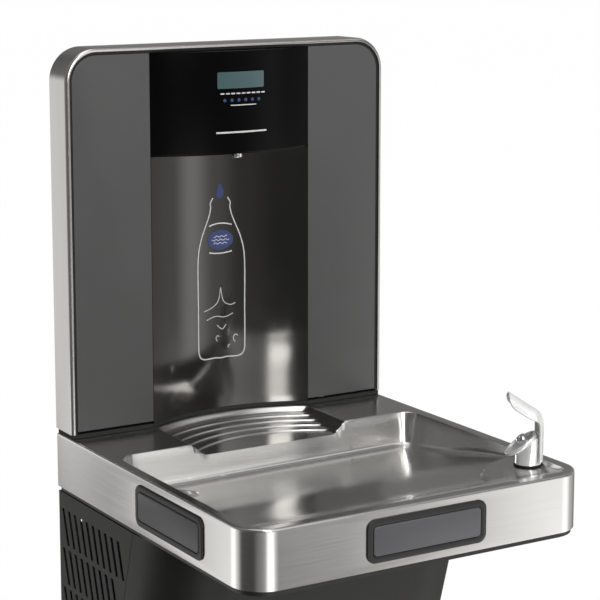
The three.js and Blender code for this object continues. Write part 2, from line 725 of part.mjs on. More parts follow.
function addCooling() {
  const compressor = join(
    turned([[0, 12], [58, 12], [62, 20], [62, 92], [50, 116], [22, 126], [0, 126]], 24),
    box(-75, 75, -40, 40, 10, 14),
    ...[-1, 1].flatMap((a) => [-1, 1].map((b) => disc(8, 0, 11, 12).translate(a * 66, b * 32, 0))),
  ).translate(compressorAt.x, compressorAt.y, floorZ);
  piece("compressor", compressor, "softBlack");
  const tank = join(
    turned([[0, 0], [50, 0], [56, 6], [56, 160], [50, 166], [0, 166]], 28),
    disc(5, 165, 180, 10),
    box(-40, 40, 40, 92, 60, 64),
  ).translate(tankAt.x, tankAt.y, -290);
  piece("cooling_tank", tank, "foam");
  const finPitch = 7.5;
  const comb = [[201, -298], [226, -298]];
  for (let z = -294; z < -135; z += finPitch) {
    comb.push([226, z], [204, z], [204, z + finPitch / 2], [226, z + finPitch / 2]);
  }
  comb.push([226, -132], [201, -132]);
  piece("condenser", extrudeY(polygon(comb), -180, -30), "galvanised");
  const shroud = cut(
    box(190, 200, -180, -30, -296, -134),
    alongX(disc(68, -5, 20, 36)).translate(185, fanCentre.y, fanCentre.z),
    box(185, 198, -178, -32, -294, -136),
  );
  piece("fan_shroud", shroud, "softBlack");
  const blade = (i) => new THREE.BoxGeometry(50, 26, 2).rotateX(0.5).translate(35, 0, 4)
    .rotateZ((i * 2 * Math.PI) / 5);
  const fan = join(disc(15, -4, 12, 20), ...[0, 1, 2, 3, 4].map(blade));
  piece("condenser_fan", alongX(fan).translate(fanCentre.x, fanCentre.y, fanCentre.z), "white");
  const motor = join(disc(28, -48, -8, 24), disc(4, -9, -4 - gap, 12),
    box(-70, 70, -6, 6, -30, -27));
  piece("fan_motor", alongX(motor).translate(fanCentre.x, fanCentre.y, fanCentre.z), "galvanised");
}

function addWaterParts() {
  const { x, y } = filterAt;
  piece("filter_head", join(
    ring(24, 34, -275, -262, 24).translate(x, y, 0),
    disc(34, -262.5, -240, 24).translate(x, y, 0),
    box(x - 8, x + 8, y, -2.5, -255, -245),
  ), "softBlack");
  piece("filter_cartridge", join(
    turned([[0, 0], [30, 0], [36, 6], [36, 195], [30, 204], [0, 204]], 28).translate(x, y, filterFoot),
    disc(22, -280, -263, 24).translate(x, y, 0),
    box(x - 28, x + 28, y - 4, y + 4, filterFoot - 6, filterFoot + 1),
  ), "white");
  const valve = join(
    box(92, 128, -118, -82, -165, -140),
    disc(6, -141, -128, 12).translate(110, -100, 0),
    alongX(disc(12, 0, 32, 16)).translate(60.5, -100, -152),
  );
  piece("bubbler_valve", valve, "white");
  const nutSize = 22;
  const inletFitting = join(
    alongY(hexagon(nutSize, -26, -6)), alongY(disc(inletRadius, -8, 0, 16)),
  ).translate(inletAt.x, 0, inletAt.z);
  piece("water_inlet", inletFitting, "brass");
  const gland = join(
    alongY(disc(glandRadius, -8, 0, 16)), alongY(hexagon(nutSize, -14, -3)), alongY(disc(5, -24, -13, 14)),
  ).translate(powerAt.x, 0, powerAt.z);
  piece("power_inlet", gland, "softBlack");
  const housing = box(controlAt.x - 40, controlAt.x + 40, -226, -196, controlAt.z - 50, controlAt.z + 30);
  const shaftRadius = 3.6;
  const shaftHole = alongY(disc(shaftRadius + 0.4, -240, -210, 12)).translate(controlAt.x, 0, controlAt.z);
  piece("control_box", cut(housing, shaftHole), "galvanised");
  const knob = join(
    alongY(disc(shaftRadius, -232, -212, 12)), alongY(disc(13, -240, -228, 20)),
    box(-2, 2, -242, -239, -12, 12),
  ).translate(controlAt.x, 0, controlAt.z);
  piece("temperature_knob", knob, "softBlack");
}

addTowerShell();
addFrontPanels();
addAlcove();
addHead();
addFiller();
addTowerGasket();
addBasin();
addDrain();
addBubbler();
["front", "left", "right"].forEach(addPushBar);
addCabinetShell();
addCooling();
addWaterParts();

fountain.position.z = rimAboveMount;
fountain.updateMatrixWorld(true);

export default fountain;
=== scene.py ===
import json
import math

import bpy
import numpy as np
from mathutils import Matrix, Vector
from mathutils.geometry import delaunay_2d_cdt


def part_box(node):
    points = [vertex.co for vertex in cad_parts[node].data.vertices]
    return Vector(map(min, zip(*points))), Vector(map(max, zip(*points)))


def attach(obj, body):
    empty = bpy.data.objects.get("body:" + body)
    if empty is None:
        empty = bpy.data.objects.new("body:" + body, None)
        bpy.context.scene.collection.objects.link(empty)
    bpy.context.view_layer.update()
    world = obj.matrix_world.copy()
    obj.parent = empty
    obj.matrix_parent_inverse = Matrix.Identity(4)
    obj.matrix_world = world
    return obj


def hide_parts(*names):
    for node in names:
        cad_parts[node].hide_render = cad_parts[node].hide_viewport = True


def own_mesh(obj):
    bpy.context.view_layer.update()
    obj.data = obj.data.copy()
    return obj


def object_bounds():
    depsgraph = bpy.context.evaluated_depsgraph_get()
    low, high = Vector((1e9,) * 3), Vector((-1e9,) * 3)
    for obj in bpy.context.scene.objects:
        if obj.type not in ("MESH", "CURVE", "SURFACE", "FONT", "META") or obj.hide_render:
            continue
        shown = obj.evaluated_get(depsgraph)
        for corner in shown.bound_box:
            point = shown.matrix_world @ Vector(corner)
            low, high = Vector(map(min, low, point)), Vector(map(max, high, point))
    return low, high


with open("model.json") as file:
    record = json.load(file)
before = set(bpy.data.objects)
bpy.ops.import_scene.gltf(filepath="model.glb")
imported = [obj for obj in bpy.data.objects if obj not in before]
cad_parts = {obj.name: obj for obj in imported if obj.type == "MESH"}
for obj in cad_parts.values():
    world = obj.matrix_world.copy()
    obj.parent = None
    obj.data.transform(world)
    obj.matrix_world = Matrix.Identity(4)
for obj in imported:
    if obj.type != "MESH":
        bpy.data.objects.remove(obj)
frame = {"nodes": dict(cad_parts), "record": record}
cad_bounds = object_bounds()

# Shapes below are drawn in millimetres with z = 0 on the basin rim, x along the wall and
# y = 0 on the wall, and go through to_frame() into the CAD frame's metres.
MM = 0.001
RIM_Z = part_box("basin_top")[1].z


def to_frame(points):
    """Rim millimetres to frame metres."""
    return np.asarray(points, float) * MM + np.array([0.0, 0.0, RIM_Z])


def node_box(name):
    """Lowest and highest corner of a CAD node, in rim millimetres."""
    lo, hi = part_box(name)
    lift = Vector((0.0, 0.0, RIM_Z))
    return (lo - lift) / MM, (hi - lift) / MM


# ---- sizes read from the frame

BASIN_LO, BASIN_HI = node_box("basin_top")
HALF = BASIN_HI.x
FRONT = BASIN_LO.y
TOWER_LO, TOWER_HI = node_box("tower_band")
TOWER_TOP = TOWER_HI.z
TOWER_FRONT = TOWER_LO.y
TOWER_FOOT = TOWER_LO.z
PANEL_FACE = node_box("front_panel_right")[0].y
HEAD_LO, HEAD_HI = node_box("head_cover")
ALCOVE_HALF = HEAD_HI.x
CABINET_LO, CABINET_HI = node_box("cabinet_front")

CORNER = 40.0  # vertical front corners of the apron
APRON_FOOT = -70.0
TOWER_RADIUS = 42.0
LIP = 5.0  # front lip of the tower band


def arc_radius(sag):
    """Radius of the arc that spans the alcove's width with this sag."""
    return (ALCOVE_HALF ** 2 + sag ** 2) / (2 * sag)


ALCOVE_SAG = 30.5
ALCOVE_RADIUS = arc_radius(ALCOVE_SAG)
ALCOVE_CENTRE = PANEL_FACE + ALCOVE_SAG - ALCOVE_RADIUS
HEAD_SAG = PANEL_FACE - HEAD_LO.y
HEAD_RADIUS = arc_radius(HEAD_SAG)
HEAD_CENTRE = HEAD_LO.y + HEAD_RADIUS

# ---- camera, stage and light

CAMERA_AT = (-1.2369, -2.2249, RIM_Z + 0.6495)
CAMERA_AZIMUTH = math.radians(30.396)
CAMERA_ELEVATION = math.radians(9.146)
CAMERA_ROLL = math.radians(-0.216)


def new_object(name, data):
    made = bpy.data.objects.new(name, data)
    bpy.context.scene.collection.objects.link(made)
    return made


def add_camera():
    data = bpy.data.cameras.new("camera")
    data.sensor_width = 36.0
    data.lens = 117.0
    data.shift_x = 0.0687
    data.shift_y = -0.1133
    camera = new_object("camera", data)
    turn = Matrix.Rotation(-CAMERA_AZIMUTH, 4, "Z")
    tilt = Matrix.Rotation(math.pi / 2 - CAMERA_ELEVATION, 4, "X")
    roll = Matrix.Rotation(CAMERA_ROLL, 4, "Z")
    camera.matrix_world = Matrix.Translation(CAMERA_AT) @ turn @ tilt @ roll
    bpy.context.scene.camera = camera


def softbox(name, location, target, width, height, power):
    """A rectangular area light that faces its target."""
    data = bpy.data.lights.new(name, "AREA")
    data.shape = "RECTANGLE"
    data.size = width
    data.size_y = height
    data.energy = power
    light = new_object(name, data)
    light.location = location
    light.rotation_euler = (Vector(target) - Vector(location)).to_track_quat("-Z", "Y").to_euler()
    light.visible_glossy = False


# ---- material nodes


class Tree:
    """Short calls for building one node tree."""

    def __init__(self, owner):
        owner.use_nodes = True
        self.tree = owner.node_tree

    def node(self, kind, settings=None, **inputs):
        made = self.tree.nodes.new(kind)
        for key, value in (settings or {}).items():
            setattr(made, key, value)
        for key, value in inputs.items():
            self.put(made.inputs[key.replace("_", " ")], value)
        return made

    def put(self, socket, value):
        if isinstance(value, bpy.types.NodeSocket):
            self.tree.links.new(value, socket)
        else:
            socket.default_value = value

    def maths(self, operation, a, b=0.0):
        made = self.node("ShaderNodeMath", {"operation": operation})
        self.put(made.inputs[0], a)
        self.put(made.inputs[1], b)
        return made.outputs[0]

    def share(self, value, low, high):
        """0 up to low, 1 from high and evenly between."""
        made = self.node("ShaderNodeMapRange", Value=value, From_Min=low, From_Max=high)
        return made.outputs["Result"]

    def mix(self, factor, dark, light):
        made = self.node("ShaderNodeMix", {"data_type": "RGBA"})
        self.put(made.inputs["Factor"], factor)
        self.put(made.inputs[6], dark)
        self.put(made.inputs[7], light)
        return made.outputs[2]

    def stretched(self, source, scale):
        return self.node("ShaderNodeMapping", Vector=source, Scale=scale).outputs["Vector"]

    def noise(self, vector, scale, detail=2.0, roughness=0.5):
        made = self.node("ShaderNodeTexNoise", Vector=vector, Scale=scale, Detail=detail,
                         Roughness=roughness)
        return made.outputs["Fac"]


def grey(value, tint=(1.0, 1.0, 1.0)):
    return tuple(value * t for t in tint) + (1.0,)


# Brightness of the studio round the object, in bands from the floor up. Each band is a list of
# (bearing, brightness), with bearings in degrees from straight out of the wall, rightwards.
BRIGHTEST = 8.0
NEAR_FLOOR = [(-180, 0.5), (-158, 0.3), (-150, 0.9), (-131, 1.9), (-114, 0.8), (-98, 0.05),
              (-58, 0.05), (-38, 0.25), (-20, 0.4), (-8, 1.9), (3, 2.3), (13, 0.8), (24, 0.25),
              (33, 0.3), (41, 1.3), (60, 1.8), (85, 0.6), (120, 0.2), (150, 0.4)]
LEVEL = [(-180, 1.2), (-152, 0.7), (-110, 0.2), (-50, 0.1), (-10, 0.1), (15, 0.18), (32, 0.4),
         (50, 1.0), (66, 0.4), (90, 0.3), (125, 0.6), (155, 0.9)]
ABOVE = [(-180, 0.1), (-120, 0.2), (-50, 0.1), (-18, 0.15), (-14.5, 8.0), (-4.5, 8.0), (-1, 0.7),
         (28, 1.2), (33, 0.1), (60, 0.15), (110, 0.3), (150, 0.15)]
HIGH = [(-180, 0.1), (-120, 0.2), (-50, 0.2), (-12, 0.3), (8, 0.5), (24, 0.6), (38, 1.1),
        (62, 0.5), (110, 0.3), (150, 0.15)]
OVERHEAD = 1.4
# Degrees above the horizon over which one band turns into the next. HIGH lies within ABOVE.
TO_LEVEL = (-16.0, -12.5)
TO_ABOVE = (-1.0, 7.0)
TO_HIGH = (36.0, 39.0)
FROM_HIGH = (50.0, 54.0)
TO_OVERHEAD = (62.0, 80.0)


def tone_ramp(t, factor, stops):
    """A grey ramp all the way round, from bearing -180 at 0 to 180 at 1."""
    made = t.node("ShaderNodeValToRGB", Fac=factor)
    made.color_ramp.interpolation = "EASE"
    elements = made.color_ramp.elements
    while len(elements) < len(stops):
        elements.new(0.5)
    for element, (bearing, value) in zip(elements, stops):
        element.position = (bearing + 180) / 360
        element.color = grey(value / BRIGHTEST, (1.0, 0.99, 0.975))
    return made.outputs["Color"]


def add_world():
    """A studio round the object. The camera itself sees plain white."""
    world = bpy.data.worlds.new("studio")
    bpy.context.scene.world = world
    t = Tree(world)
    direction = t.node("ShaderNodeTexCoord").outputs["Generated"]
    split = t.node("ShaderNodeSeparateXYZ", Vector=direction)
    bearing = t.maths("ARCTAN2", split.outputs["X"], t.maths("MULTIPLY", split.outputs["Y"], -1.0))
    around = t.share(bearing, -math.pi, math.pi)
    lift = t.maths("ARCSINE", split.outputs["Z"])

    def blend(angles, lower, upper):
        start, end = np.radians(angles)
        return t.mix(t.share(lift, start, end), lower, upper)

    low, level, above, high = (tone_ramp(t, around, band) for band in (NEAR_FLOOR, LEVEL, ABOVE, HIGH))
    upper = blend(FROM_HIGH, blend(TO_HIGH, above, high), above)
    sides = blend(TO_ABOVE, blend(TO_LEVEL, low, level), upper)
    lit = blend(TO_OVERHEAD, sides, grey(OVERHEAD / BRIGHTEST))
    seen = t.node("ShaderNodeLightPath").outputs["Is Camera Ray"]
    background = world.node_tree.nodes["Background"]
    t.put(background.inputs["Color"], t.mix(seen, lit, grey(1.0 / BRIGHTEST)))
    background.inputs["Strength"].default_value = BRIGHTEST


def add_stage():
    """A plain pale floor below the object, lifted towards white where the camera sees it."""
    side = 30.0
    gap = 0.03
    level = cad_bounds[0].z - gap
    mesh = bpy.data.meshes.new("stage_floor")
    corners = [(-side, -side, level), (side, -side, level), (side, side, level), (-side, side, level)]
    mesh.from_pydata(corners, [], [(0, 1, 2, 3)])
    floor = new_object("stage_floor", mesh)
    material, t, plain = principled("stage_pale", grey(0.75), 0.0, 0.9)
    glow = t.node("ShaderNodeEmission", Color=grey(1.0), Strength=1.06)
    seen = t.node("ShaderNodeLightPath").outputs["Is Camera Ray"]
    share = t.maths("MULTIPLY", seen, 0.9)
    blend = t.node("ShaderNodeMixShader", Fac=share)
    t.put(blend.inputs[1], plain.outputs[0])
    t.put(blend.inputs[2], glow.outputs[0])
    t.put(material.node_tree.nodes["Material Output"].inputs["Surface"], blend.outputs[0])
    mesh.materials.append(material)
    floor.visible_glossy = False


def add_lights():
    middle = (0.0, -0.25, 0.3)
    softbox("box_front", (1.6, -2.4, 1.4), middle, 1.6, 1.6, 42)
    softbox("box_top", (-0.3, -0.9, 2.2), middle, 1.8, 1.2, 6)


# ---- materials

SLOT_OF = {}  # each material's slot in the record


def principled(name, colour, metallic, roughness, slot=None, **fixed):
    """A material whose constant values sit on the shader's own sockets. Its name is its slot's,
    unless the slot is given."""
    material = bpy.data.materials.new(name)
    SLOT_OF[material] = slot or name
    t = Tree(material)
    shader = material.node_tree.nodes["Principled BSDF"]
    fixed.update(Base_Color=colour, Metallic=metallic, Roughness=roughness)
    for key, value in fixed.items():
        shader.inputs[key.replace("_", " ")].default_value = value
    return material, t, shader


def varied(t, shader, colour, spread, pattern):
    """Varies the base colour by the spread to both sides, as a noise pattern says."""
    low, high = (tuple(c * (1.0 + s) for c in colour[:3]) + (1.0,) for s in (-spread, spread))
    t.put(shader.inputs["Base Color"], t.mix(t.share(pattern, 0.3, 0.7), low, high))


def bumped(t, shader, height, strength, depth):
    bump = t.node("ShaderNodeBump", Height=height, Strength=strength, Distance=depth * MM)
    t.put(shader.inputs["Normal"], bump.outputs["Normal"])


def brushed_metal(name, tone, roughness, spread, anisotropy, strength):
    """Metal brushed along the V axis of its UV map, which is laid out in metres."""
    material, t, shader = principled(name, tone, 1.0, roughness, Anisotropic=anisotropy)
    layout = t.node("ShaderNodeUVMap", {"uv_map": "grain"}).outputs["UV"]
    place = t.node("ShaderNodeTexCoord").outputs["Object"]
    hair = t.noise(t.stretched(layout, (3200.0, 26.0, 1.0)), 1.0, 3.0, 0.6)
    streak = t.noise(t.stretched(layout, (420.0, 6.0, 1.0)), 1.0, 2.0)
    cloud = t.noise(place, 7.0, 3.0)
    lines = t.maths("ADD", t.maths("MULTIPLY", hair, 0.6), t.maths("MULTIPLY", streak, 0.4))
    varied(t, shader, tone, spread, lines)
    worn = t.maths("ADD", t.maths("MULTIPLY", lines, 0.12), t.maths("MULTIPLY", cloud, 0.14))
    t.put(shader.inputs["Roughness"], t.maths("ADD", worn, roughness - 0.13))
    tangent = t.node("ShaderNodeTangent", {"direction_type": "UV_MAP", "uv_map": "grain"})
    t.put(shader.inputs["Tangent"], tangent.outputs[0])
    bumped(t, shader, lines, strength, 0.05)
    return material


def coated(name, colour, roughness, grain_size, depth, metallic=0.0, spread=0.08, **fixed):
    """Paint, plating or moulded plastic: fine peel with its grain size and depth in millimetres,
    faint tone changes and slightly uneven gloss."""
    material, t, shader = principled(name, colour, metallic, roughness, **fixed)
    place = t.node("ShaderNodeTexCoord").outputs["Object"]
    peel = t.noise(place, 1.0 / (grain_size * MM), 3.0, 0.55)
    cloud = t.noise(place, 9.0, 4.0, 0.6)
    varied(t, shader, colour, spread, cloud)
    gloss = t.maths("ADD", t.maths("MULTIPLY", cloud, 0.1), roughness - 0.05)
    t.put(shader.inputs["Roughness"], t.maths("ADD", gloss, t.maths("MULTIPLY", peel, 0.02)))
    bumped(t, shader, peel, 0.5, depth)
    return material


STEEL_TINT = (1.0, 0.99, 0.97)
CHROME_TINT = (0.99, 0.995, 1.0)
STAINLESS = brushed_metal("brushed_stainless", grey(0.76, STEEL_TINT), 0.23, 0.05, 0.35, 0.08)
SATIN = coated("satin_stainless", grey(0.72, STEEL_TINT), 0.24, 3.0, 0.004, metallic=1.0, spread=0.04,
               slot="brushed_stainless")
CHROME = coated("chrome_plate", grey(0.93, CHROME_TINT), 0.12, 6.0, 0.004, metallic=1.0, spread=0.02)
PALE_CHROME = coated("polished_chrome", grey(0.95, CHROME_TINT), 0.16, 6.0, 0.004, metallic=0.5,
                     spread=0.02, slot="chrome_plate")
GALVANISED = coated("galvanised_steel", grey(0.55), 0.42, 14.0, 0.03, metallic=1.0, spread=0.16)
FINS = coated("condenser_metal", grey(0.6), 0.4, 3.0, 0.02, metallic=1.0, spread=0.1)
BRASS = coated("brass_metal", (0.6, 0.47, 0.2, 1.0), 0.28, 2.0, 0.01, metallic=1.0, spread=0.08)
PANEL = coated("panel_grey", grey(0.058, (1.0, 1.0, 1.01)), 0.36, 0.8, 0.01, spread=0.04)
CABINET = coated("cabinet_grey", grey(0.014, (1.0, 0.98, 0.94)), 0.45, 0.9, 0.02, spread=0.08,
                 Specular_IOR_Level=0.3)
SMOKED = coated("smoked_gloss", (0.136, 0.134, 0.13, 1.0), 0.08, 5.0, 0.001, metallic=1.0, spread=0.03)
BLACK_GLOSS = coated("black_gloss", grey(0.0015), 0.18, 5.0, 0.002, spread=0.05,
                     Specular_IOR_Level=0.08)
DISPLAY = coated("display_glass", (0.05, 0.09, 0.095, 1.0), 0.12, 4.0, 0.001, spread=0.04)
BOARD = coated("circuit_board", (0.02, 0.12, 0.05, 1.0), 0.4, 2.0, 0.02)
BLACK_PLASTIC = coated("black_plastic", grey(0.014), 0.42, 0.7, 0.02)
RUBBER = coated("black_rubber", grey(0.010), 0.7, 0.6, 0.03)
PAD = coated("pad_grey", grey(0.075, (0.97, 0.98, 1.06)), 0.38, 0.5, 0.02)
COMPRESSOR = coated("compressor_black", grey(0.012), 0.3, 1.5, 0.03)
FOAM = coated("tank_foam", grey(0.05), 0.85, 2.5, 0.3)
WHITE = coated("white_plastic", grey(0.75, (1.0, 0.995, 0.97)), 0.35, 1.2, 0.01, spread=0.03)
PRINT_WHITE = coated("print_white", grey(0.5), 0.4, 0.5, 0.004, slot="white_plastic")
PRINT_BLUE = coated("print_blue", (0.026, 0.042, 0.13, 1.0), 0.35, 0.5, 0.004, slot="white_plastic")

CAD_MATERIALS = {SLOT_OF[material]: material for material in (
    SATIN, CHROME, GALVANISED, FINS, BRASS, PANEL, CABINET, SMOKED, BLACK_GLOSS, DISPLAY, BOARD,
    BLACK_PLASTIC, RUBBER, PAD, COMPRESSOR, FOAM, WHITE)}

# ---- mesh building


def add_piece(name, points, faces, uvs, material, body="body", stands_for=None):
    """Makes a smooth-shaded piece from rim millimetres. uvs holds one (u, v) per face corner."""
    mesh = bpy.data.meshes.new(name)
    mesh.from_pydata([tuple(p) for p in to_frame(points)], [], [tuple(f) for f in faces])
    layer = mesh.uv_layers.new(name="grain")
    layer.data.foreach_set("uv", np.asarray(uvs, float).ravel() * MM)
    mesh.shade_smooth()
    mesh.materials.append(material)
    mesh.validate()
    mesh.set_sharp_from_angle(angle=math.radians(40.0))
    piece = new_object(name, mesh)
    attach(piece, body)
    if stands_for:
        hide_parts(stands_for)
    return piece


def modify(piece, kind, **settings):
    modifier = piece.modifiers.new(kind.lower(), kind)
    for key, value in settings.items():
        setattr(modifier, key, value)


def run_lengths(points):
    """Distance along a closed list of points, with one more entry for the way back."""
    loop = np.vstack([points, points[:1]])
    steps = np.linalg.norm(np.diff(loop, axis=0), axis=1)
    return np.concatenate([[0.0], np.cumsum(steps)])


def loft(name, rings, material, grain="ring", wrap=False, **rest):
    """Skins closed rings with the same count of points. The brushing runs round each ring, or along
    the rows of rings. With wrap the last ring joins the first, otherwise both ends are capped."""
    rings = np.asarray(rings, float)
    points = rings.reshape(-1, 3)
    rows, count = rings.shape[:2]
    round_ring = run_lengths(rings[rows // 2])
    along = np.concatenate([[0.0], np.cumsum(np.linalg.norm(
        np.diff(np.concatenate([rings, rings[:1]]), axis=0), axis=2).mean(axis=1))])
    faces = []
    uvs = []
    for row in range(rows if wrap else rows - 1):
        after = (row + 1) % rows
        for i in range(count):
            j = (i + 1) % count
            faces.append((row * count + i, row * count + j, after * count + j, after * count + i))
            for across, step in ((row, i), (row, i + 1), (row + 1, i + 1), (row + 1, i)):
                uvs.append((along[across], round_ring[step]) if grain == "ring"
                           else (round_ring[step], along[across]))
    if not wrap:
        for face, ring in (
            (range(count - 1, -1, -1), rings[0]),
            (range((rows - 1) * count, rows * count), rings[-1]),
        ):
            faces.append(list(face))
            u, v = ((1, 2), (2, 0), (1, 0))[int(np.argmin(np.ptp(ring, axis=0)))]
            uvs.extend((points[k][u], points[k][v]) for k in face)
    return add_piece(name, points, faces, uvs, material, **rest)


def round_points(centre, radius, angles):
    return [(centre[0] + radius * math.cos(a), centre[1] + radius * math.sin(a)) for a in angles]


def quarter(u, v, radius, start, count):
    """Points of a quarter turn anticlockwise from the start angle in degrees."""
    return round_points((u, v), radius, np.radians(start + np.linspace(0.0, 90.0, count + 1)))


def rounded_rect(u0, u1, v0, v1, r, count):
    """Anticlockwise outline with round corners."""
    return (quarter(u0 + r, v0 + r, r, 180, count) + quarter(u1 - r, v0 + r, r, 270, count)
            + quarter(u1 - r, v1 - r, r, 0, count) + quarter(u0 + r, v1 - r, r, 90, count))


def finish_cad_nodes():
    """Gives every CAD node its slot's material, rounded edges and smooth shading."""
    slots = {part["node"]: part["material_slot"] for part in frame["record"]["subparts"]}
    for name, node in frame["nodes"].items():
        node.data.materials.clear()
        node.data.materials.append(CAD_MATERIALS[slots[name]])
        node.data.shade_smooth()
        modify(node, "WELD", merge_threshold=1e-5)
        modify(node, "BEVEL", width=0.4 * MM, segments=2, limit_method="ANGLE",
               angle_limit=math.radians(35))
        modify(node, "WEIGHTED_NORMAL")


# ---- tower


def arch_path():
    """Points up the left side, round the top and down the right, with outward directions (x, z)."""
    points = [((-HALF, TOWER_FOOT), (-1.0, 0.0))]
    for side, start in ((-1, 180.0), (1, 90.0)):
        centre = (side * (HALF - TOWER_RADIUS), TOWER_TOP - TOWER_RADIUS)
        for angle in np.radians(start - np.linspace(0.0, 90.0, 25)):
            out = (math.cos(angle), math.sin(angle))
            points.append(((centre[0] + TOWER_RADIUS * out[0], centre[1] + TOWER_RADIUS * out[1]), out))
    points.append(((HALF, TOWER_FOOT), (1.0, 0.0)))
    return points


def sweep_arch(name, section, material, **rest):
    """Carries a closed section of (outward, y) points along the tower's arch."""
    rings = [[(x + out * nx, y, z + out * nz) for out, y in section]
             for (x, z), (nx, nz) in arch_path()]
    return loft(name, rings, material, **rest)


def add_tower_band():
    skin = 2.0
    fold = 4.6
    lip_end = TOWER_FRONT + 0.1
    front = [(-fold + fold * math.cos(a), TOWER_FRONT + fold - fold * math.sin(a))
             for a in np.radians(np.linspace(0.0, 90.0, 13))]
    section = [(0.0, 0.0), *front, (-LIP, lip_end), (-LIP, TOWER_FRONT + skin),
               (-skin, TOWER_FRONT + 2 * skin), (-skin, 0.0)]
    sweep_arch("tower_band_skin", section, STAINLESS, grain="rows", stands_for="tower_band")


def add_tower_seal():
    """The rubber bead between the band's lip and the front panels."""
    inner, outer, back = -8.8, -5.3, -36.0
    middle, half = (inner + outer) / 2, (outer - inner) / 2
    rise = 1.2
    bead = [(middle + half * math.cos(a), PANEL_FACE + rise - rise * math.sin(a))
            for a in np.radians(np.linspace(0.0, 180.0, 9))]
    sweep_arch("tower_seal_bead", [*bead, (inner, back), (outer, back)], RUBBER,
               stands_for="tower_trim")


def offset_outline(outline, distance):
    """Moves a closed anticlockwise outline inwards, joining neighbours at their mitres."""
    points = np.asarray(outline, float)
    before = points - np.roll(points, 1, axis=0)
    after = np.roll(points, -1, axis=0) - points
    inward = []
    for edge in (before, after):
        unit = edge / np.linalg.norm(edge, axis=1)[:, None]
        inward.append(np.stack([-unit[:, 1], unit[:, 0]], axis=1))
    bisector = inward[0] + inward[1]
    scale = 2.0 / np.sum(bisector ** 2, axis=1)
    return points + bisector * (scale * distance)[:, None]


def plate_rings(outline, y_front, y_back, rounding, steps=4):
    """Rings of a plate seen from the front: straight sides, a rounded front edge, then its face."""
    rings = [[(x, y_back, z) for x, z in outline]]
    for angle in np.radians(np.linspace(0.0, 90.0, steps + 1)):
        shrunk = offset_outline(outline, rounding * (1.0 - math.cos(angle)))
        y = y_front + rounding * (1.0 - math.sin(angle))
        rings.append([(x, y, z) for x, z in shrunk])
    return rings


def add_front_panels():
    edge = 0.7
    for side, sign in (("left", -1), ("right", 1)):
        lo, hi = node_box(f"front_panel_{side}")
        radius = TOWER_RADIUS - (HALF - hi.x if sign > 0 else HALF + lo.x)
        corner = quarter(hi.x - radius, hi.z - radius, radius, 0, 16)
        outline = [(lo.x, lo.z), (hi.x, lo.z), *corner, (lo.x, hi.z)]
        if sign < 0:
            mirrored = [(hi.x + lo.x - u, v) for u, v in outline]
            outline = mirrored[::-1]
        rings = plate_rings(outline, lo.y, hi.y, edge)
        loft(f"tower_panel_{side}", rings, PANEL, stands_for=f"front_panel_{side}")


def arc_points(centre_y, radius, half, front, count=73):
    """Points of an alcove arc (front=False) or a head arc (front=True) from -x to +x."""
    sign = -1.0 if front else 1.0
    return [(x, centre_y + sign * math.sqrt(radius ** 2 - x ** 2)) for x in
            [radius * math.sin(a) for a in np.linspace(-1, 1, count) * math.asin(half / radius)]]


def add_alcove():
    thick = 2.0
    near = arc_points(ALCOVE_CENTRE, ALCOVE_RADIUS, ALCOVE_HALF, False)
    far = arc_points(ALCOVE_CENTRE, ALCOVE_RADIUS + thick, ALCOVE_HALF, False)
    outline = near + far[::-1]
    lo, hi = node_box("alcove_liner")
    rings = [[(x, y, z) for x, y in outline] for z in np.linspace(lo.z, hi.z, 9)]
    loft("alcove_skin", rings, SMOKED, stands_for="alcove_liner")


def add_head():
    """The head's cover, with a rounded foot that draws its sides in a little as well."""
    lo, hi = node_box("head_cover")
    rounding = 3.0
    side_share = 0.3
    gap = 0.3
    levels = [(rounding * (1.0 - math.sin(a)), lo.z + rounding * (1.0 - math.cos(a)))
              for a in np.radians(np.linspace(0.0, 90.0, 7))]
    levels.append((0.0, hi.z))
    back = arc_points(ALCOVE_CENTRE, ALCOVE_RADIUS - gap, ALCOVE_HALF - gap, False)
    rings = []
    for inset, z in levels:
        front = arc_points(HEAD_CENTRE, HEAD_RADIUS - inset, ALCOVE_HALF - inset * side_share, True)
        rings.append([(x, y, z) for x, y in front + back[::-1]])
    loft("head_shell", rings, BLACK_GLOSS, stands_for="head_cover")


# Points on the faces of the head and the alcove, and on the badge printed on the alcove.
def on_head(x, z, lift=0.0):
    return (x, HEAD_CENTRE - math.sqrt((HEAD_RADIUS + lift) ** 2 - x ** 2), z)


def on_alcove(x, z, lift=0.0):
    return (x, ALCOVE_CENTRE + math.sqrt((ALCOVE_RADIUS - lift) ** 2 - x ** 2), z)


def on_badge(x, z, lift=0.0):
    return on_alcove(x, z, lift + 0.2)


def directions(points):
    """Unit direction of a line at each of its points."""
    direction = np.gradient(points, axis=0)
    return direction / np.linalg.norm(direction, axis=1)[:, None]


def band(name, points, widths, surface, material, lift=0.25):
    """A thin mark on a curved surface, along (x, z) points and with a width at each of them."""
    sunk = -0.4
    points = np.asarray(points, float)
    direction = directions(points)
    side = np.stack([-direction[:, 1], direction[:, 0]], axis=1) * np.reshape(widths, (-1, 1)) / 2
    sections = []
    for (x, z), (dx, dz) in zip(points, side):
        sections.append([surface(x + dx, z + dz, sunk), surface(x + dx, z + dz, lift),
                         surface(x - dx, z - dz, lift), surface(x - dx, z - dz, sunk)])
    return loft(name, sections, material)


def stroke(name, points, width, surface=on_alcove):
    """A white printed line of even width."""
    band(name, points, [width] * len(points), surface, PRINT_WHITE)


def spot(name, x, z, half_wide, half_high, surface):
    """A blue printed ellipse, a little blunt at both ends."""
    turn = np.linspace(0.03, math.pi - 0.03, 21)
    band(name, [(x - half_wide * math.cos(a), z) for a in turn],
         [2 * half_high * math.sin(a) for a in turn], surface, PRINT_BLUE)


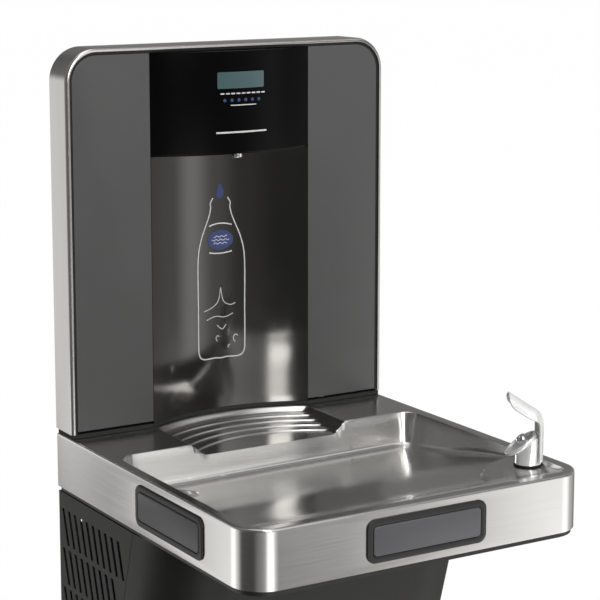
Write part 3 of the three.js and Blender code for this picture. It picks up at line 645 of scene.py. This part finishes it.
def curve_through(points, count):
    """Samples a smooth open curve through the given points of a plane."""
    points = np.asarray(points, float)
    knots = np.arange(len(points))
    slopes = np.gradient(points, axis=0)
    at = np.linspace(0, len(points) - 1, count)
    i = np.minimum(at.astype(int), len(points) - 2)
    t = (at - knots[i])[:, None]
    a, b, ma, mb = points[i], points[i + 1], slopes[i], slopes[i + 1]
    return ((2 * t ** 3 - 3 * t ** 2 + 1) * a + (t ** 3 - 2 * t ** 2 + t) * ma
            + (-2 * t ** 3 + 3 * t ** 2) * b + (t ** 3 - t ** 2) * mb)


def add_bottle_graphic():
    """The bottle's outline on the alcove, with a badge of waves, a drop above and splashes inside."""
    half, neck, foot, shoulder, top = 35.0, 14.0, 74.0, 205.0, 288.0
    side = [(6.0, foot), (half - 8, foot), (half - 1, foot + 7), (half, foot + 22), (half, 140.0),
            (half, shoulder), (half - 5, shoulder + 28), (neck + 4, 262.0), (neck + 0.5, 275.0),
            (neck + 1.0, 281.0), (neck - 3.0, top)]
    for sign, end in ((1, "right"), (-1, "left")):
        line = curve_through([(sign * x, z) for x, z in side], 90)
        stroke(f"bottle_line_{end}", line, 1.5)
    dimple = [(x, foot - 1.0 + abs(x) / 8) for x in np.linspace(-9, 9, 9)]
    stroke("bottle_line_foot", dimple, 1.5)
    add_bottle_badge(232.0)
    fall = np.linspace(0.02, 0.98, 21)
    band("bottle_drop", [(0.0, top - 1.0 + 20.0 * t) for t in fall],
         [26.0 * math.sqrt(t) * (1.0 - t) ** 0.9 for t in fall], on_alcove, PRINT_BLUE)
    splashes = [[(-26, 138), (-14, 142), (-4, 150), (0, 168)],
                [(0, 168), (4, 150), (14, 144), (22, 146)],
                [(-22, 126), (-8, 130), (6, 128), (18, 132)],
                [(-6, 118), (2, 112), (8, 118)]]
    for i, points in enumerate(splashes):
        stroke(f"bottle_splash_{i}", curve_through(points, 16), 0.9)
    for i, (x, z, radius) in enumerate([(22, 98, 5.0), (-5, 100, 3.5), (12, 88, 2.0)]):
        ring = [(x + radius * 0.7 * math.cos(a), z + radius * math.sin(a))
                for a in np.linspace(0.6, 4.6, 15)]
        stroke(f"bottle_bubble_{i}", ring, 1.0)


def add_bottle_badge(middle):
    spot("bottle_badge", 0.0, middle, 19.0, 13.0, on_alcove)
    for name, up, bend in (("upper", 19.0, 3.0), ("lower", -16.0, -2.0)):
        arc = [(x, middle + up + bend * (1 - (x / 17) ** 2)) for x in np.linspace(-17, 17, 13)]
        stroke(f"badge_arc_{name}", arc, 1.6)
    for row, (up, reach) in enumerate(((4.5, 10.0), (0.0, 13.0), (-4.5, 10.0))):
        wave = [(x, middle + up + 0.9 * math.sin(x * 0.9 + row)) for x in np.linspace(-reach, reach, 31)]
        stroke(f"badge_wave_{row}", wave, 0.9, on_badge)


def add_head_marks():
    """The display's lens and the plain printed marks on the head: ticks, lamps and two rules."""
    lens_half, lens_low, lens_high = 34.0, 436.0, 457.0
    tick_z, lamp_z, rule_z, mark_z = 429.5, 421.0, 414.5, 380.0
    across = np.linspace(-lens_half, lens_half, 41)
    height = [lens_high - lens_low - (1.2 if abs(x) > lens_half - 1 else 0.0) for x in across]
    lens = band("display_lens", [(x, (lens_low + lens_high) / 2) for x in across], height, on_head,
                DISPLAY, lift=0.15)
    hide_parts("display_window")
    for i in range(9):
        start = -30.0 + 7.5 * i
        tick = [(x, tick_z) for x in (start, start + 2.6, start + 5.4)]
        stroke(f"head_tick_{i}", tick, 1.7, on_head)
    for i in range(6):
        spot(f"head_lamp_{i}", -24.0 + 10.0 * i, lamp_z, 2.2, 2.2, on_head)
    stroke("head_rule", [(x, rule_z) for x in np.linspace(-16, 22, 9)], 1.2, on_head)
    stroke("head_mark", [(x, mark_z) for x in np.linspace(-36, 38, 15)], 2.2, on_head)


# ---- basin

DECK = -143.0  # y of the bowl's back edge
BOWL_HALF = HALF - 15.0
BOWL_FRONT = FRONT + 14.0
BOWL_RADIUS = 22.0  # corners of the bowl at the rim
LEAN = 0.012  # floor's fall to the left, in radians
WALL_LEAN = math.atan(7.0 / 45.0)
PLATFORM_Z = -6.0  # round platform in the front right corner, which carries the bubbler
PLATFORM_RADIUS = 104.0
PLATFORM_SLOPE = 1.5
RECESS_HALF = 115.0  # recess between bowl and alcove: half its width at the rim and below
RECESS_FOOT = 96.0
RECESS_BACK = -18.0
RECESS_Z = -15.5
STEP_RADII = (211.5, 194.5, 177.5, 160.5)
STEP_DROP = 2.25
STEP_NOSE = 1.5  # half the run of a step's slope
STRIP_RADII = (235.0, 227.0)  # the sloping strip in front of the alcove
STRIP_DROP = 6.5
DRAIN = (-172.0, -194.0)
DRAIN_HOLE = 20.0
SUMP_RADIUS = 34.0  # flat seat of the drain, below the bowl's floor
SUMP_Z = -52.0
BUBBLER = (199.0, -414.0)
BUBBLER_HOLE = 11.0
RIM_EDGE = 2.5  # rounding between the rim and the apron
FLOOR_LINE = [(-143.0, -46.0), (-205.0, -41.0), (-290.0, -26.5), (-362.0, -14.0), (-430.0, -9.8),
              (-455.0, -5.0), (-468.0, -1.6), (-480.0, 0.0), (-500.0, 0.0)]


def smooth_min(a, b, reach):
    """The lesser of two values, with a soft change over where they are within reach."""
    share = np.clip(0.5 + 0.5 * (b - a) / reach, 0.0, 1.0)
    return b + (a - b) * share - reach * share * (1.0 - share)


def smooth_step(value, low, high):
    """0 below low, 1 above high and a soft rise between."""
    t = np.clip((value - low) / (high - low), 0.0, 1.0)
    return t * t * (3.0 - 2.0 * t)


def inset_from_bowl(x, y):
    """How far a point lies inside the bowl's rounded edge; negative outside."""
    middle = (DECK + BOWL_FRONT) / 2
    reach = (DECK - BOWL_FRONT) / 2
    qx = np.abs(x) - BOWL_HALF + BOWL_RADIUS
    qy = np.abs(y - middle) - reach + BOWL_RADIUS
    outside = np.hypot(np.maximum(qx, 0.0), np.maximum(qy, 0.0))
    return BOWL_RADIUS - outside - np.minimum(np.maximum(qx, qy), 0.0)


def bowl_floor_depth(x, y):
    """Depth of the bowl's floor below the rim: it rises to the front and falls to the left."""
    line = curve_through(FLOOR_LINE, 240)
    depth = -np.interp(-y, -line[:, 0], line[:, 1])
    return np.maximum(depth - LEAN * x * np.clip(depth / 20.0, 0.0, 1.0), 0.0)


def wall_height(inset, depth, top=3.0, foot=9.0):
    """Section of a leaning wall with a rounded edge at the rim and a round foot on the floor."""
    sine, cosine = math.sin(WALL_LEAN), math.cos(WALL_LEAN)
    depth = np.maximum(depth, 1e-3)
    top = np.minimum(top, depth * 0.4)
    foot = np.minimum(foot, depth * 0.5)
    low = foot - depth
    centre = (foot - low * sine) / cosine
    bottom = np.where(inset >= centre, -depth,
                      low - np.sqrt(np.maximum(foot ** 2 - (centre - inset) ** 2, 0.0)))
    crown = -top * (1.0 - sine) / cosine
    upper = np.where(inset <= crown, 0.0,
                     -top + np.sqrt(np.maximum(top ** 2 - (inset - crown) ** 2, 0.0)))
    straight = -inset * cosine / sine
    height = np.where(inset < crown + top * cosine, upper, straight)
    return np.where(inset > centre - foot * cosine, bottom, height)


def basin_height(x, y):
    """Height of the basin's top surface at a plan point."""
    bowl = wall_height(inset_from_bowl(x, y), bowl_floor_depth(x, y))
    from_corner = np.hypot(x - BOWL_HALF, y - BOWL_FRONT)
    platform = PLATFORM_Z - PLATFORM_SLOPE * np.maximum(from_corner - PLATFORM_RADIUS, 0.0)
    bowl = np.minimum(-smooth_min(-bowl, -platform, 2.5), 0.0)
    from_arc = np.hypot(x, y - ALCOVE_CENTRE)
    terrace = -STRIP_DROP * smooth_step(-from_arc, -STRIP_RADII[0], -STRIP_RADII[1])
    for radius in STEP_RADII:
        terrace = terrace - STEP_DROP * smooth_step(radius - from_arc, -STEP_NOSE, STEP_NOSE)
    slope = -RECESS_Z / (RECESS_HALF - RECESS_FOOT)
    side = smooth_min(0.0, -(RECESS_HALF - np.abs(x)) * slope, 1.6)
    recess = -smooth_min(-terrace, -side, 3.0)
    recess = np.where(y > DECK - 25.0, np.minimum(recess, 0.0), 0.0)
    both = np.minimum(bowl, recess)
    blended = smooth_min(bowl, recess, 2.5)
    share = np.clip(-np.maximum(bowl, recess) / 3.0, 0.0, 1.0)
    height = both + (blended - both) * share
    from_drain = np.hypot(x - DRAIN[0], y - DRAIN[1])
    sump = smooth_step(SUMP_RADIUS - from_drain, -1.5, 1.5)
    return height * (1.0 - sump) + np.minimum(height, SUMP_Z) * sump


def basin_outline(inset):
    """The basin's outline from above: two round front corners and two small ones at the wall."""
    radius = CORNER - inset
    small = 2.0
    half, front, back = HALF - inset, FRONT + inset, -inset
    return (quarter(-half + radius, front + radius, radius, 180, 12)
            + quarter(half - radius, front + radius, radius, 270, 12)
            + quarter(half - small, back - small, small, 0, 2)
            + quarter(-half + small, back - small, small, 90, 2))


def circle(centre, radius, step):
    """Points round a circle, about a step apart."""
    count = max(16, int(2 * math.pi * radius / step))
    return round_points(centre, radius, np.arange(count) * 2 * math.pi / count)


def dense(points, step, closed=True):
    """Adds points along straight runs so that none is longer than the step."""
    points = [np.asarray(p, float) for p in points]
    ends = points[1:] + points[:1] if closed else points[1:]
    out = []
    for a, b in zip(points, ends):
        pieces = max(1, int(math.ceil(np.linalg.norm(b - a) / step)))
        out.extend(a + (b - a) * k / pieces for k in range(pieces))
    if not closed:
        out.append(points[-1])
    return out


class Plan:
    """Collects feature lines and points in a plane, then triangulates between them."""

    def __init__(self):
        self.points = []
        self.edges = []

    def line(self, points, closed=True):
        start = len(self.points)
        self.scatter(points)
        last = len(self.points) - 1
        self.edges.extend((i, i + 1) for i in range(start, last))
        if closed:
            self.edges.append((last, start))

    def scatter(self, points):
        self.points.extend(Vector((float(p[0]), float(p[1]))) for p in points)

    def triangles(self, inside):
        """Plan points and the triangles whose middle passes the inside test."""
        made = delaunay_2d_cdt(self.points, self.edges, [], 0, 1e-4)
        points = np.array([tuple(v) for v in made[0]])
        faces = [f for f in made[2] if inside(*points[list(f)].mean(axis=0))]
        return points, faces


def clipped(points, test):
    """Runs of a line whose points pass the test."""
    runs = [[]]
    for point in points:
        if test(point):
            runs[-1].append(point)
        elif runs[-1]:
            runs.append([])
    return [run for run in runs if len(run) > 1]


def basin_plan():
    """The basin from above: lines where its surface bends, and a loose grid of points between."""
    fine = 5.0
    grid = 11.0
    overlap = 9.0  # how far the recess's lines reach over the bowl's back edge
    plan = Plan()
    plan.line(basin_outline(RIM_EDGE))
    plan.line(basin_outline(RIM_EDGE + 1.5))
    for inset in (-3.2, -2.6, -1.9, -1.1, -0.3, 0.6, 2.0, 3.6, 5.0, 6.0, 7.0, 8.0, 9.2, 10.6, 12.2, 14.0,
                  17.0):
        outline = rounded_rect(-BOWL_HALF + inset, BOWL_HALF - inset, BOWL_FRONT + inset, DECK - inset,
                               max(BOWL_RADIUS - inset, 4.0), 12)
        plan.line(dense(outline, 9.0))
    for offset in (-6, -3, -1, 0.5, 2, 4, 7, 11, 15, 19, 23):
        arc = circle((BOWL_HALF, BOWL_FRONT), PLATFORM_RADIUS + offset, fine)
        for run in clipped(arc, lambda p: p[0] < BOWL_HALF + 2 and p[1] > BOWL_FRONT - 2):
            plan.line(run, closed=False)
    rings = [radius + offset for radius in STEP_RADII
             for offset in (-4.0, -1.5, -1.0, -0.5, 0.0, 0.5, 1.0, 1.5, 4.0)]
    rings.extend(np.linspace(STRIP_RADII[1], STRIP_RADII[0], 9))
    rings.append(STRIP_RADII[1] - 7.0)
    for radius in rings:
        reach = math.asin((RECESS_HALF + 4.0) / radius)
        arc = [(radius * math.sin(a), ALCOVE_CENTRE + radius * math.cos(a))
               for a in np.linspace(-reach, reach, 61)]
        for run in clipped(arc, lambda p: p[1] > DECK - overlap):
            plan.line(run, closed=False)
    for half in np.concatenate([np.linspace(RECESS_HALF + 2.5, RECESS_HALF - 2.5, 6),
                                np.linspace(RECESS_HALF - 6, RECESS_FOOT - 5, 7)]):
        for sign in (-1, 1):
            ends = [(sign * half, DECK - overlap), (sign * half, RECESS_BACK)]
            plan.line(dense(ends, fine, closed=False), closed=False)
    for offset in (-2.5, -1.4, -0.6, 0.0, 0.6, 1.6, 3.0):
        plan.line(circle(DRAIN, SUMP_RADIUS + offset, fine))
    plan.line(circle(DRAIN, DRAIN_HOLE, fine))
    plan.line(circle(BUBBLER, BUBBLER_HOLE, 3.0))
    columns = np.arange(-HALF + 8, HALF - 6, grid)
    for k, y in enumerate(np.arange(FRONT + 8, -4, grid)):
        shifted = columns + (grid / 2 if k % 2 else 0.0)
        reach = HALF - (7.0 if y > FRONT + CORNER else 26.0)  # less between the round corners
        plan.scatter([(x, y) for x in shifted if abs(x) < reach])
    holes = ((DRAIN, DRAIN_HOLE), (BUBBLER, BUBBLER_HOLE))
    return plan.triangles(lambda x, y: all(math.hypot(x - c[0], y - c[1]) > r for c, r in holes))


BAR_WIDTH, BAR_HEIGHT, BAR_Z, SIDE_BAR_Y = 164.0, 51.0, -35.5, -308.0
BAR_BODIES = {"front": "front_bar", "left": "left_bar", "right": "right_bar"}
OPENING_X, OPENING_Z = 79.0, 22.5  # half the opening behind a bar
SPRING_LO, SPRING_HI = node_box("front_bar_spring")
PAD_BACK = 5.0  # the plate's back, inside the apron
POST_X = 52.0  # the plate's two guide posts, to both sides of the middle
POST_Z = (SPRING_LO.z + SPRING_HI.z) / 2 - BAR_Z
POST_END = node_box("front_bar_pad")[1].y - FRONT


def place_bar(side, u, y, v):
    """A push-bar point drawn for the front apron, u to the right and y into the apron."""
    if side == "front":
        return (u, FRONT + y, BAR_Z + v)
    if side == "left":
        return (-HALF + y, SIDE_BAR_Y - u, BAR_Z + v)
    return (HALF - y, SIDE_BAR_Y + u, BAR_Z + v)


def basin_sheet():
    """The basin's top: vertices, triangles and (u, v) for each corner."""
    points, faces = basin_plan()
    height = np.minimum(basin_height(points[:, 0], points[:, 1]), 0.0)
    uvs = [(points[i][1], points[i][0]) for face in faces for i in face]
    return np.column_stack([points, height]), faces, uvs


def apron_edge(lengths):
    """The rounded edge between the rim and the apron's wall, as strips of quads."""
    rings = []
    for angle in np.radians(np.linspace(0.0, 90.0, 6)):
        z = RIM_EDGE * (math.cos(angle) - 1.0)
        rings.append([(x, y, z) for x, y in basin_outline(RIM_EDGE * (1.0 - math.sin(angle)))])
    rise = 0.8
    vertices, faces, uvs = [], [], []
    for level, (upper, lower) in enumerate(zip(rings, rings[1:])):
        top, foot = level * rise, level * rise + rise
        for i in range(len(upper)):
            j = (i + 1) % len(upper)
            faces.append(range(len(vertices), len(vertices) + 4))
            vertices.extend([upper[i], lower[i], lower[j], upper[j]])
            here, there = lengths[i], lengths[i + 1]
            uvs.extend([(top, here), (foot, here), (foot, there), (top, there)])
    return vertices, faces, uvs


def along_outline(loop, lengths, target):
    """Distance along a closed outline to its point nearest the target."""
    best_gap, best_length = math.inf, 0.0
    for start, end, length in zip(loop, loop[1:], lengths):
        span = end - start
        share = np.clip(np.dot(target - start, span) / np.dot(span, span), 0.0, 1.0)
        gap = np.linalg.norm(start + share * span - target)
        if gap < best_gap:
            best_gap, best_length = gap, length + share * np.linalg.norm(span)
    return best_length


def apron_wall(lengths):
    """The apron's wall, drawn unrolled along its outline with an opening for each push bar."""
    outline = np.array(basin_outline(0.0))
    loop = np.vstack([outline, outline[:1]])
    shoulder = -RIM_EDGE - 1.0
    plan = Plan()
    plan.line([(t, -RIM_EDGE) for t in lengths] + [(t, APRON_FOOT) for t in lengths[::-1]])
    for t in lengths[1:-1]:
        plan.line([(t, -RIM_EDGE), (t, shoulder), (t, APRON_FOOT)], closed=False)
    plan.line([(t, shoulder) for t in lengths], closed=False)
    centres = [along_outline(loop, lengths, np.array(place_bar(side, 0.0, 0.0, 0.0)[:2]))
               for side in BAR_BODIES]
    for centre in centres:
        plan.line(rounded_rect(centre - OPENING_X, centre + OPENING_X,
                               BAR_Z - OPENING_Z, BAR_Z + OPENING_Z, 6.0, 5))
    flat, faces = plan.triangles(
        lambda t, z: all(abs(t - c) >= OPENING_X or abs(z - BAR_Z) >= OPENING_Z for c in centres))
    x, y = (np.interp(flat[:, 0], lengths, loop[:, k]) for k in (0, 1))
    vertices = np.column_stack([x, y, flat[:, 1]])
    uvs = [(flat[i][1], flat[i][0]) for face in faces for i in face]
    return vertices, faces, uvs


def add_basin():
    lengths = run_lengths(np.array(basin_outline(0.0)))
    vertices, faces, uvs = [], [], []
    for points, polygons, corners in (basin_sheet(), apron_edge(lengths), apron_wall(lengths)):
        base = len(vertices)
        vertices.extend(points)
        faces.extend([base + i for i in polygon] for polygon in polygons)
        uvs.extend(corners)
    piece = add_piece("basin_skin", vertices, faces, uvs, STAINLESS, stands_for="basin_top")
    modify(piece, "WELD", merge_threshold=0.02 * MM)
    modify(piece, "SOLIDIFY", thickness=1.5 * MM, offset=-1.0)
    modify(piece, "EDGE_SPLIT", split_angle=math.radians(32.0))


# ---- bubbler

BUBBLER_TURN = math.atan2(BUBBLER[1] - SIDE_BAR_Y, BUBBLER[0])
DISH_TILT = math.radians(35.0)
DISH_AT = (-7.5, 29.0)
DISH_NARROWING = 0.78
BASE_RADIUS = 15.5
BASE_SHIFT = 2.5  # from the tail's axis towards the guard


def on_platform(x, y, z):
    """A point drawn about the bubbler's axis, with -x towards the bowl and z = 0 on the platform."""
    cosine, sine = math.cos(BUBBLER_TURN), math.sin(BUBBLER_TURN)
    return (BUBBLER[0] + cosine * x - sine * y, BUBBLER[1] + sine * x + cosine * y, PLATFORM_Z + z)


def on_dish(along, across, height):
    """A point drawn on the bubbler's tilted dish: up its slope, across it and square to it."""
    cosine, sine = math.cos(DISH_TILT), math.sin(DISH_TILT)
    return on_platform(DISH_AT[0] + along * cosine - height * sine, across,
                       DISH_AT[1] + along * sine + height * cosine)


def turned(name, profile, place, material, count=56, **rest):
    """A turned piece from (radius, height) pairs, placed by a function of its own x, y and z."""
    turn = np.arange(count) * 2 * math.pi / count
    rings = [[place(x, y, height) for x, y in round_points((0.0, 0.0), radius, turn)]
             for radius, height in profile]
    return loft(name, rings, material, **rest)


def on_base(x, y, z):
    """A point drawn about the axis of the bubbler's base."""
    return on_platform(x + BASE_SHIFT, y, z)


def add_bubbler():
    seal_foot, foot = 0.3, 2.2
    seal = [(16.4, seal_foot), (16.9, 0.7), (16.9, 1.8), (16.4, foot), (11.0, foot), (11.0, seal_foot)]
    turned("bubbler_seal", seal, on_base, RUBBER, wrap=True, stands_for="bubbler_gasket")
    add_bubbler_base(foot)
    tray = [(19.6, -6.2), (21.6, -5.9), (22.8, -5.0), (23.4, -3.6), (23.4, -1.4), (23.0, -0.5),
            (22.1, 0.0), (21.2, 0.0), (20.2, -0.5), (18.8, -1.7), (14.0, -3.5), (8.0, -4.2), (0.4, -4.4)]
    turned("bubbler_tray", tray, lambda a, b, h: on_dish(a, b * DISH_NARROWING, h), PALE_CHROME,
           stands_for="bubbler_body")
    mouthpiece = [(6.2, -4.6), (6.8, -4.2), (6.8, 2.6), (6.5, 4.2), (5.8, 5.4), (4.8, 5.9), (3.6, 6.0),
                  (2.7, 5.6), (2.2, 4.8), (2.0, 0.0), (0.3, 0.0)]
    uphill = 4.0
    turned("bubbler_mouthpiece", mouthpiece, lambda a, b, h: on_dish(a + uphill, b, h), CHROME,
           stands_for="bubbler_nozzle")


def add_bubbler_base(foot):
    """A round column whose top is cut at the dish's slant, just below the dish."""
    turn = np.arange(64) * 2 * math.pi / 64
    rings = [[on_base(x, y, z) for x, y in round_points((0.0, 0.0), radius, turn)]
             for radius, z in ((15.3, foot + 0.1), (16.0, 2.7), (16.0, 3.6), (BASE_RADIUS, 4.4))]
    under_dish = DISH_AT[1] - 5.0 / math.cos(DISH_TILT)
    for inset, drop in ((0.0, 0.8), (0.3, 0.2), (1.0, 0.0)):
        level = under_dish + (BASE_SHIFT - DISH_AT[0]) * math.tan(DISH_TILT) - drop
        rings.append([on_base(x, y, level + x * math.tan(DISH_TILT))
                      for x, y in round_points((0.0, 0.0), BASE_RADIUS - inset, turn)])
    loft("bubbler_base", rings, PALE_CHROME, stands_for="bubbler_body")


def add_mouth_guard():
    """A hollow strap up the back of the bubbler that curls over the mouthpiece as a hooded leaf."""
    thick, half_width = 1.8, 16.0
    strap_hollow, leaf_hollow = 6.5, 12.0
    curl_start, curl_end = 50.0, 74.0
    leaf_start, leaf_length = -6.0, 16.4
    tip_share = 0.04
    path = curve_through([(20.0, 6.5), (20.0, 28.0), (20.0, 50.0), (18.6, 59.5), (14.0, 66.5),
                          (6.0, 72.0), (-4.0, 78.5), (-13.0, 84.5), (-22.2, 90.5)], 90)
    across = np.sin(np.linspace(-0.5, 0.5, 17) * math.pi)
    section = [(w, thick / 2) for w in across] + [(w * 0.97, -thick / 2) for w in across[::-1]]
    rings = []
    for (x, z), (tx, tz) in zip(path, directions(path)):
        past = min(max(leaf_start - x, 0.0) / leaf_length, 1.0)
        share = max((1.0 - past ** 3) ** (1.0 / 2.2), tip_share)
        curl = float(smooth_step(z, curl_start, curl_end))
        hollow = strap_hollow + (leaf_hollow - strap_hollow) * curl
        ring = []
        for w, lift in section:
            out = lift - hollow * (w * share) ** 2
            ring.append(on_platform(x + tz * out, w * share * half_width, z - tx * out))
        rings.append(ring)
    loft("bubbler_guard", rings, PALE_CHROME, stands_for="mouth_guard")


# ---- push bars


def bar_rings(side, rows):
    """Rounded outlines of a push bar from (margin, y, corner radius) rows."""
    rings = []
    for margin, y, radius in rows:
        outline = rounded_rect(-BAR_WIDTH / 2 + margin, BAR_WIDTH / 2 - margin,
                               -BAR_HEIGHT / 2 + margin, BAR_HEIGHT / 2 - margin, radius, 8)
        rings.append([place_bar(side, u, y, v) for u, v in outline])
    return rings


def add_push_bar(side):
    """A bevelled bezel round a plate that slides in it, with two posts on the plate's back."""
    bezel = [(0.0, -0.3, 11.0), (0.0, -1.2, 11.0), (0.25, -1.9, 10.8), (0.9, -2.4, 10.2),
             (5.8, -2.4, 6.6), (6.9, -2.2, 6.0), (7.5, -1.6, 5.6), (7.7, -0.8, 5.5),
             (7.7, 13.0, 5.5), (3.4, 13.0, 7.0), (3.4, -0.3, 7.0)]
    loft(f"{side}_bar_frame", bar_rings(side, bezel), BLACK_PLASTIC, wrap=True,
         stands_for=f"{side}_bar_bezel")
    plate = [(8.0, PAD_BACK, 5.2), (8.0, -1.4, 5.2), (8.15, -2.1, 5.1), (8.6, -2.7, 4.8),
             (9.3, -3.0, 4.3)]
    loft(f"{side}_bar_plate", bar_rings(side, plate), PAD, body=BAR_BODIES[side],
         stands_for=f"{side}_bar_pad")
    head = POST_END - 2.2
    post = [(4.0, PAD_BACK), (4.0, head), (6.0, head), (6.0, POST_END - 0.5), (5.5, POST_END)]
    for end, middle in (("a", -POST_X), ("b", POST_X)):
        turned(f"{side}_bar_post_{end}", post,
               lambda a, b, y, middle=middle: place_bar(side, middle + a, y, POST_Z - b),
               PAD, 24, body=BAR_BODIES[side], stands_for=f"{side}_bar_pad")


def add_bar_spring(side):
    """A coil with closed ends between plate and bracket."""
    wire, turns, steps = 0.8, 4.5, 110
    start, end = SPRING_LO.y - FRONT, SPRING_HI.y - FRONT
    radius = (SPRING_HI.x - SPRING_LO.x) / 2 - wire
    rings = []
    for share in np.linspace(0.0, 1.0, steps):
        angle = 2 * math.pi * turns * share
        y = start + wire + (end - start - 2 * wire) * float(smooth_step(share, 0.0, 1.0))
        ring = []
        for b in np.arange(10) * math.pi / 5:
            reach = radius + wire * math.cos(b)
            ring.append(place_bar(side, reach * math.cos(angle), y + wire * math.sin(b),
                                  POST_Z + reach * math.sin(angle)))
        rings.append(ring)
    spring = loft(f"{side}_bar_coil", rings, GALVANISED,
                  stands_for=f"{side}_bar_spring")
    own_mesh(spring)


# ---- cabinet


def add_cabinet():
    """The cabinet's front: it slopes back from the top down to a knee and is upright below."""
    radius = 90.0
    thick = 2.0
    lap = 3.7  # straight stretch behind the round corners
    half = CABINET_HI.x
    top, foot = CABINET_HI.z, CABINET_LO.z
    knee = -277.0
    top_front, knee_front = -306.0, -246.0

    def section(z, inset):
        fall = min(1.0, max(0.0, (top - z) / (top - knee)))
        outer_front = top_front + (knee_front - top_front) * fall
        front = outer_front + inset
        back = outer_front + radius + lap
        r = radius - inset
        corner_left = quarter(-half + inset + r, front + r, r, 180, 24)
        corner_right = quarter(half - inset - r, front + r, r, 270, 24)
        outline = [(-half + inset, back), *corner_left, *corner_right, (half - inset, back)]
        return [(x, y, z) for x, y in outline]

    heights = [foot, knee - 123, knee - 8, knee - 3, knee, knee + 3, knee + 8, top - 130, top - 60, top]
    rings = [section(z, 0.0) + section(z, thick)[::-1] for z in heights]
    loft("cabinet_wrap", rings, CABINET, stands_for="cabinet_front")


bpy.context.scene.view_settings.view_transform = "Standard"
add_camera()
add_world()
add_stage()
add_lights()
finish_cad_nodes()
add_tower_band()
add_tower_seal()
add_front_panels()
add_alcove()
add_head()
add_bottle_graphic()
add_head_marks()
add_basin()
add_bubbler()
add_mouth_guard()
for bar in BAR_BODIES:
    add_push_bar(bar)
    add_bar_spring(bar)
add_cabinet()
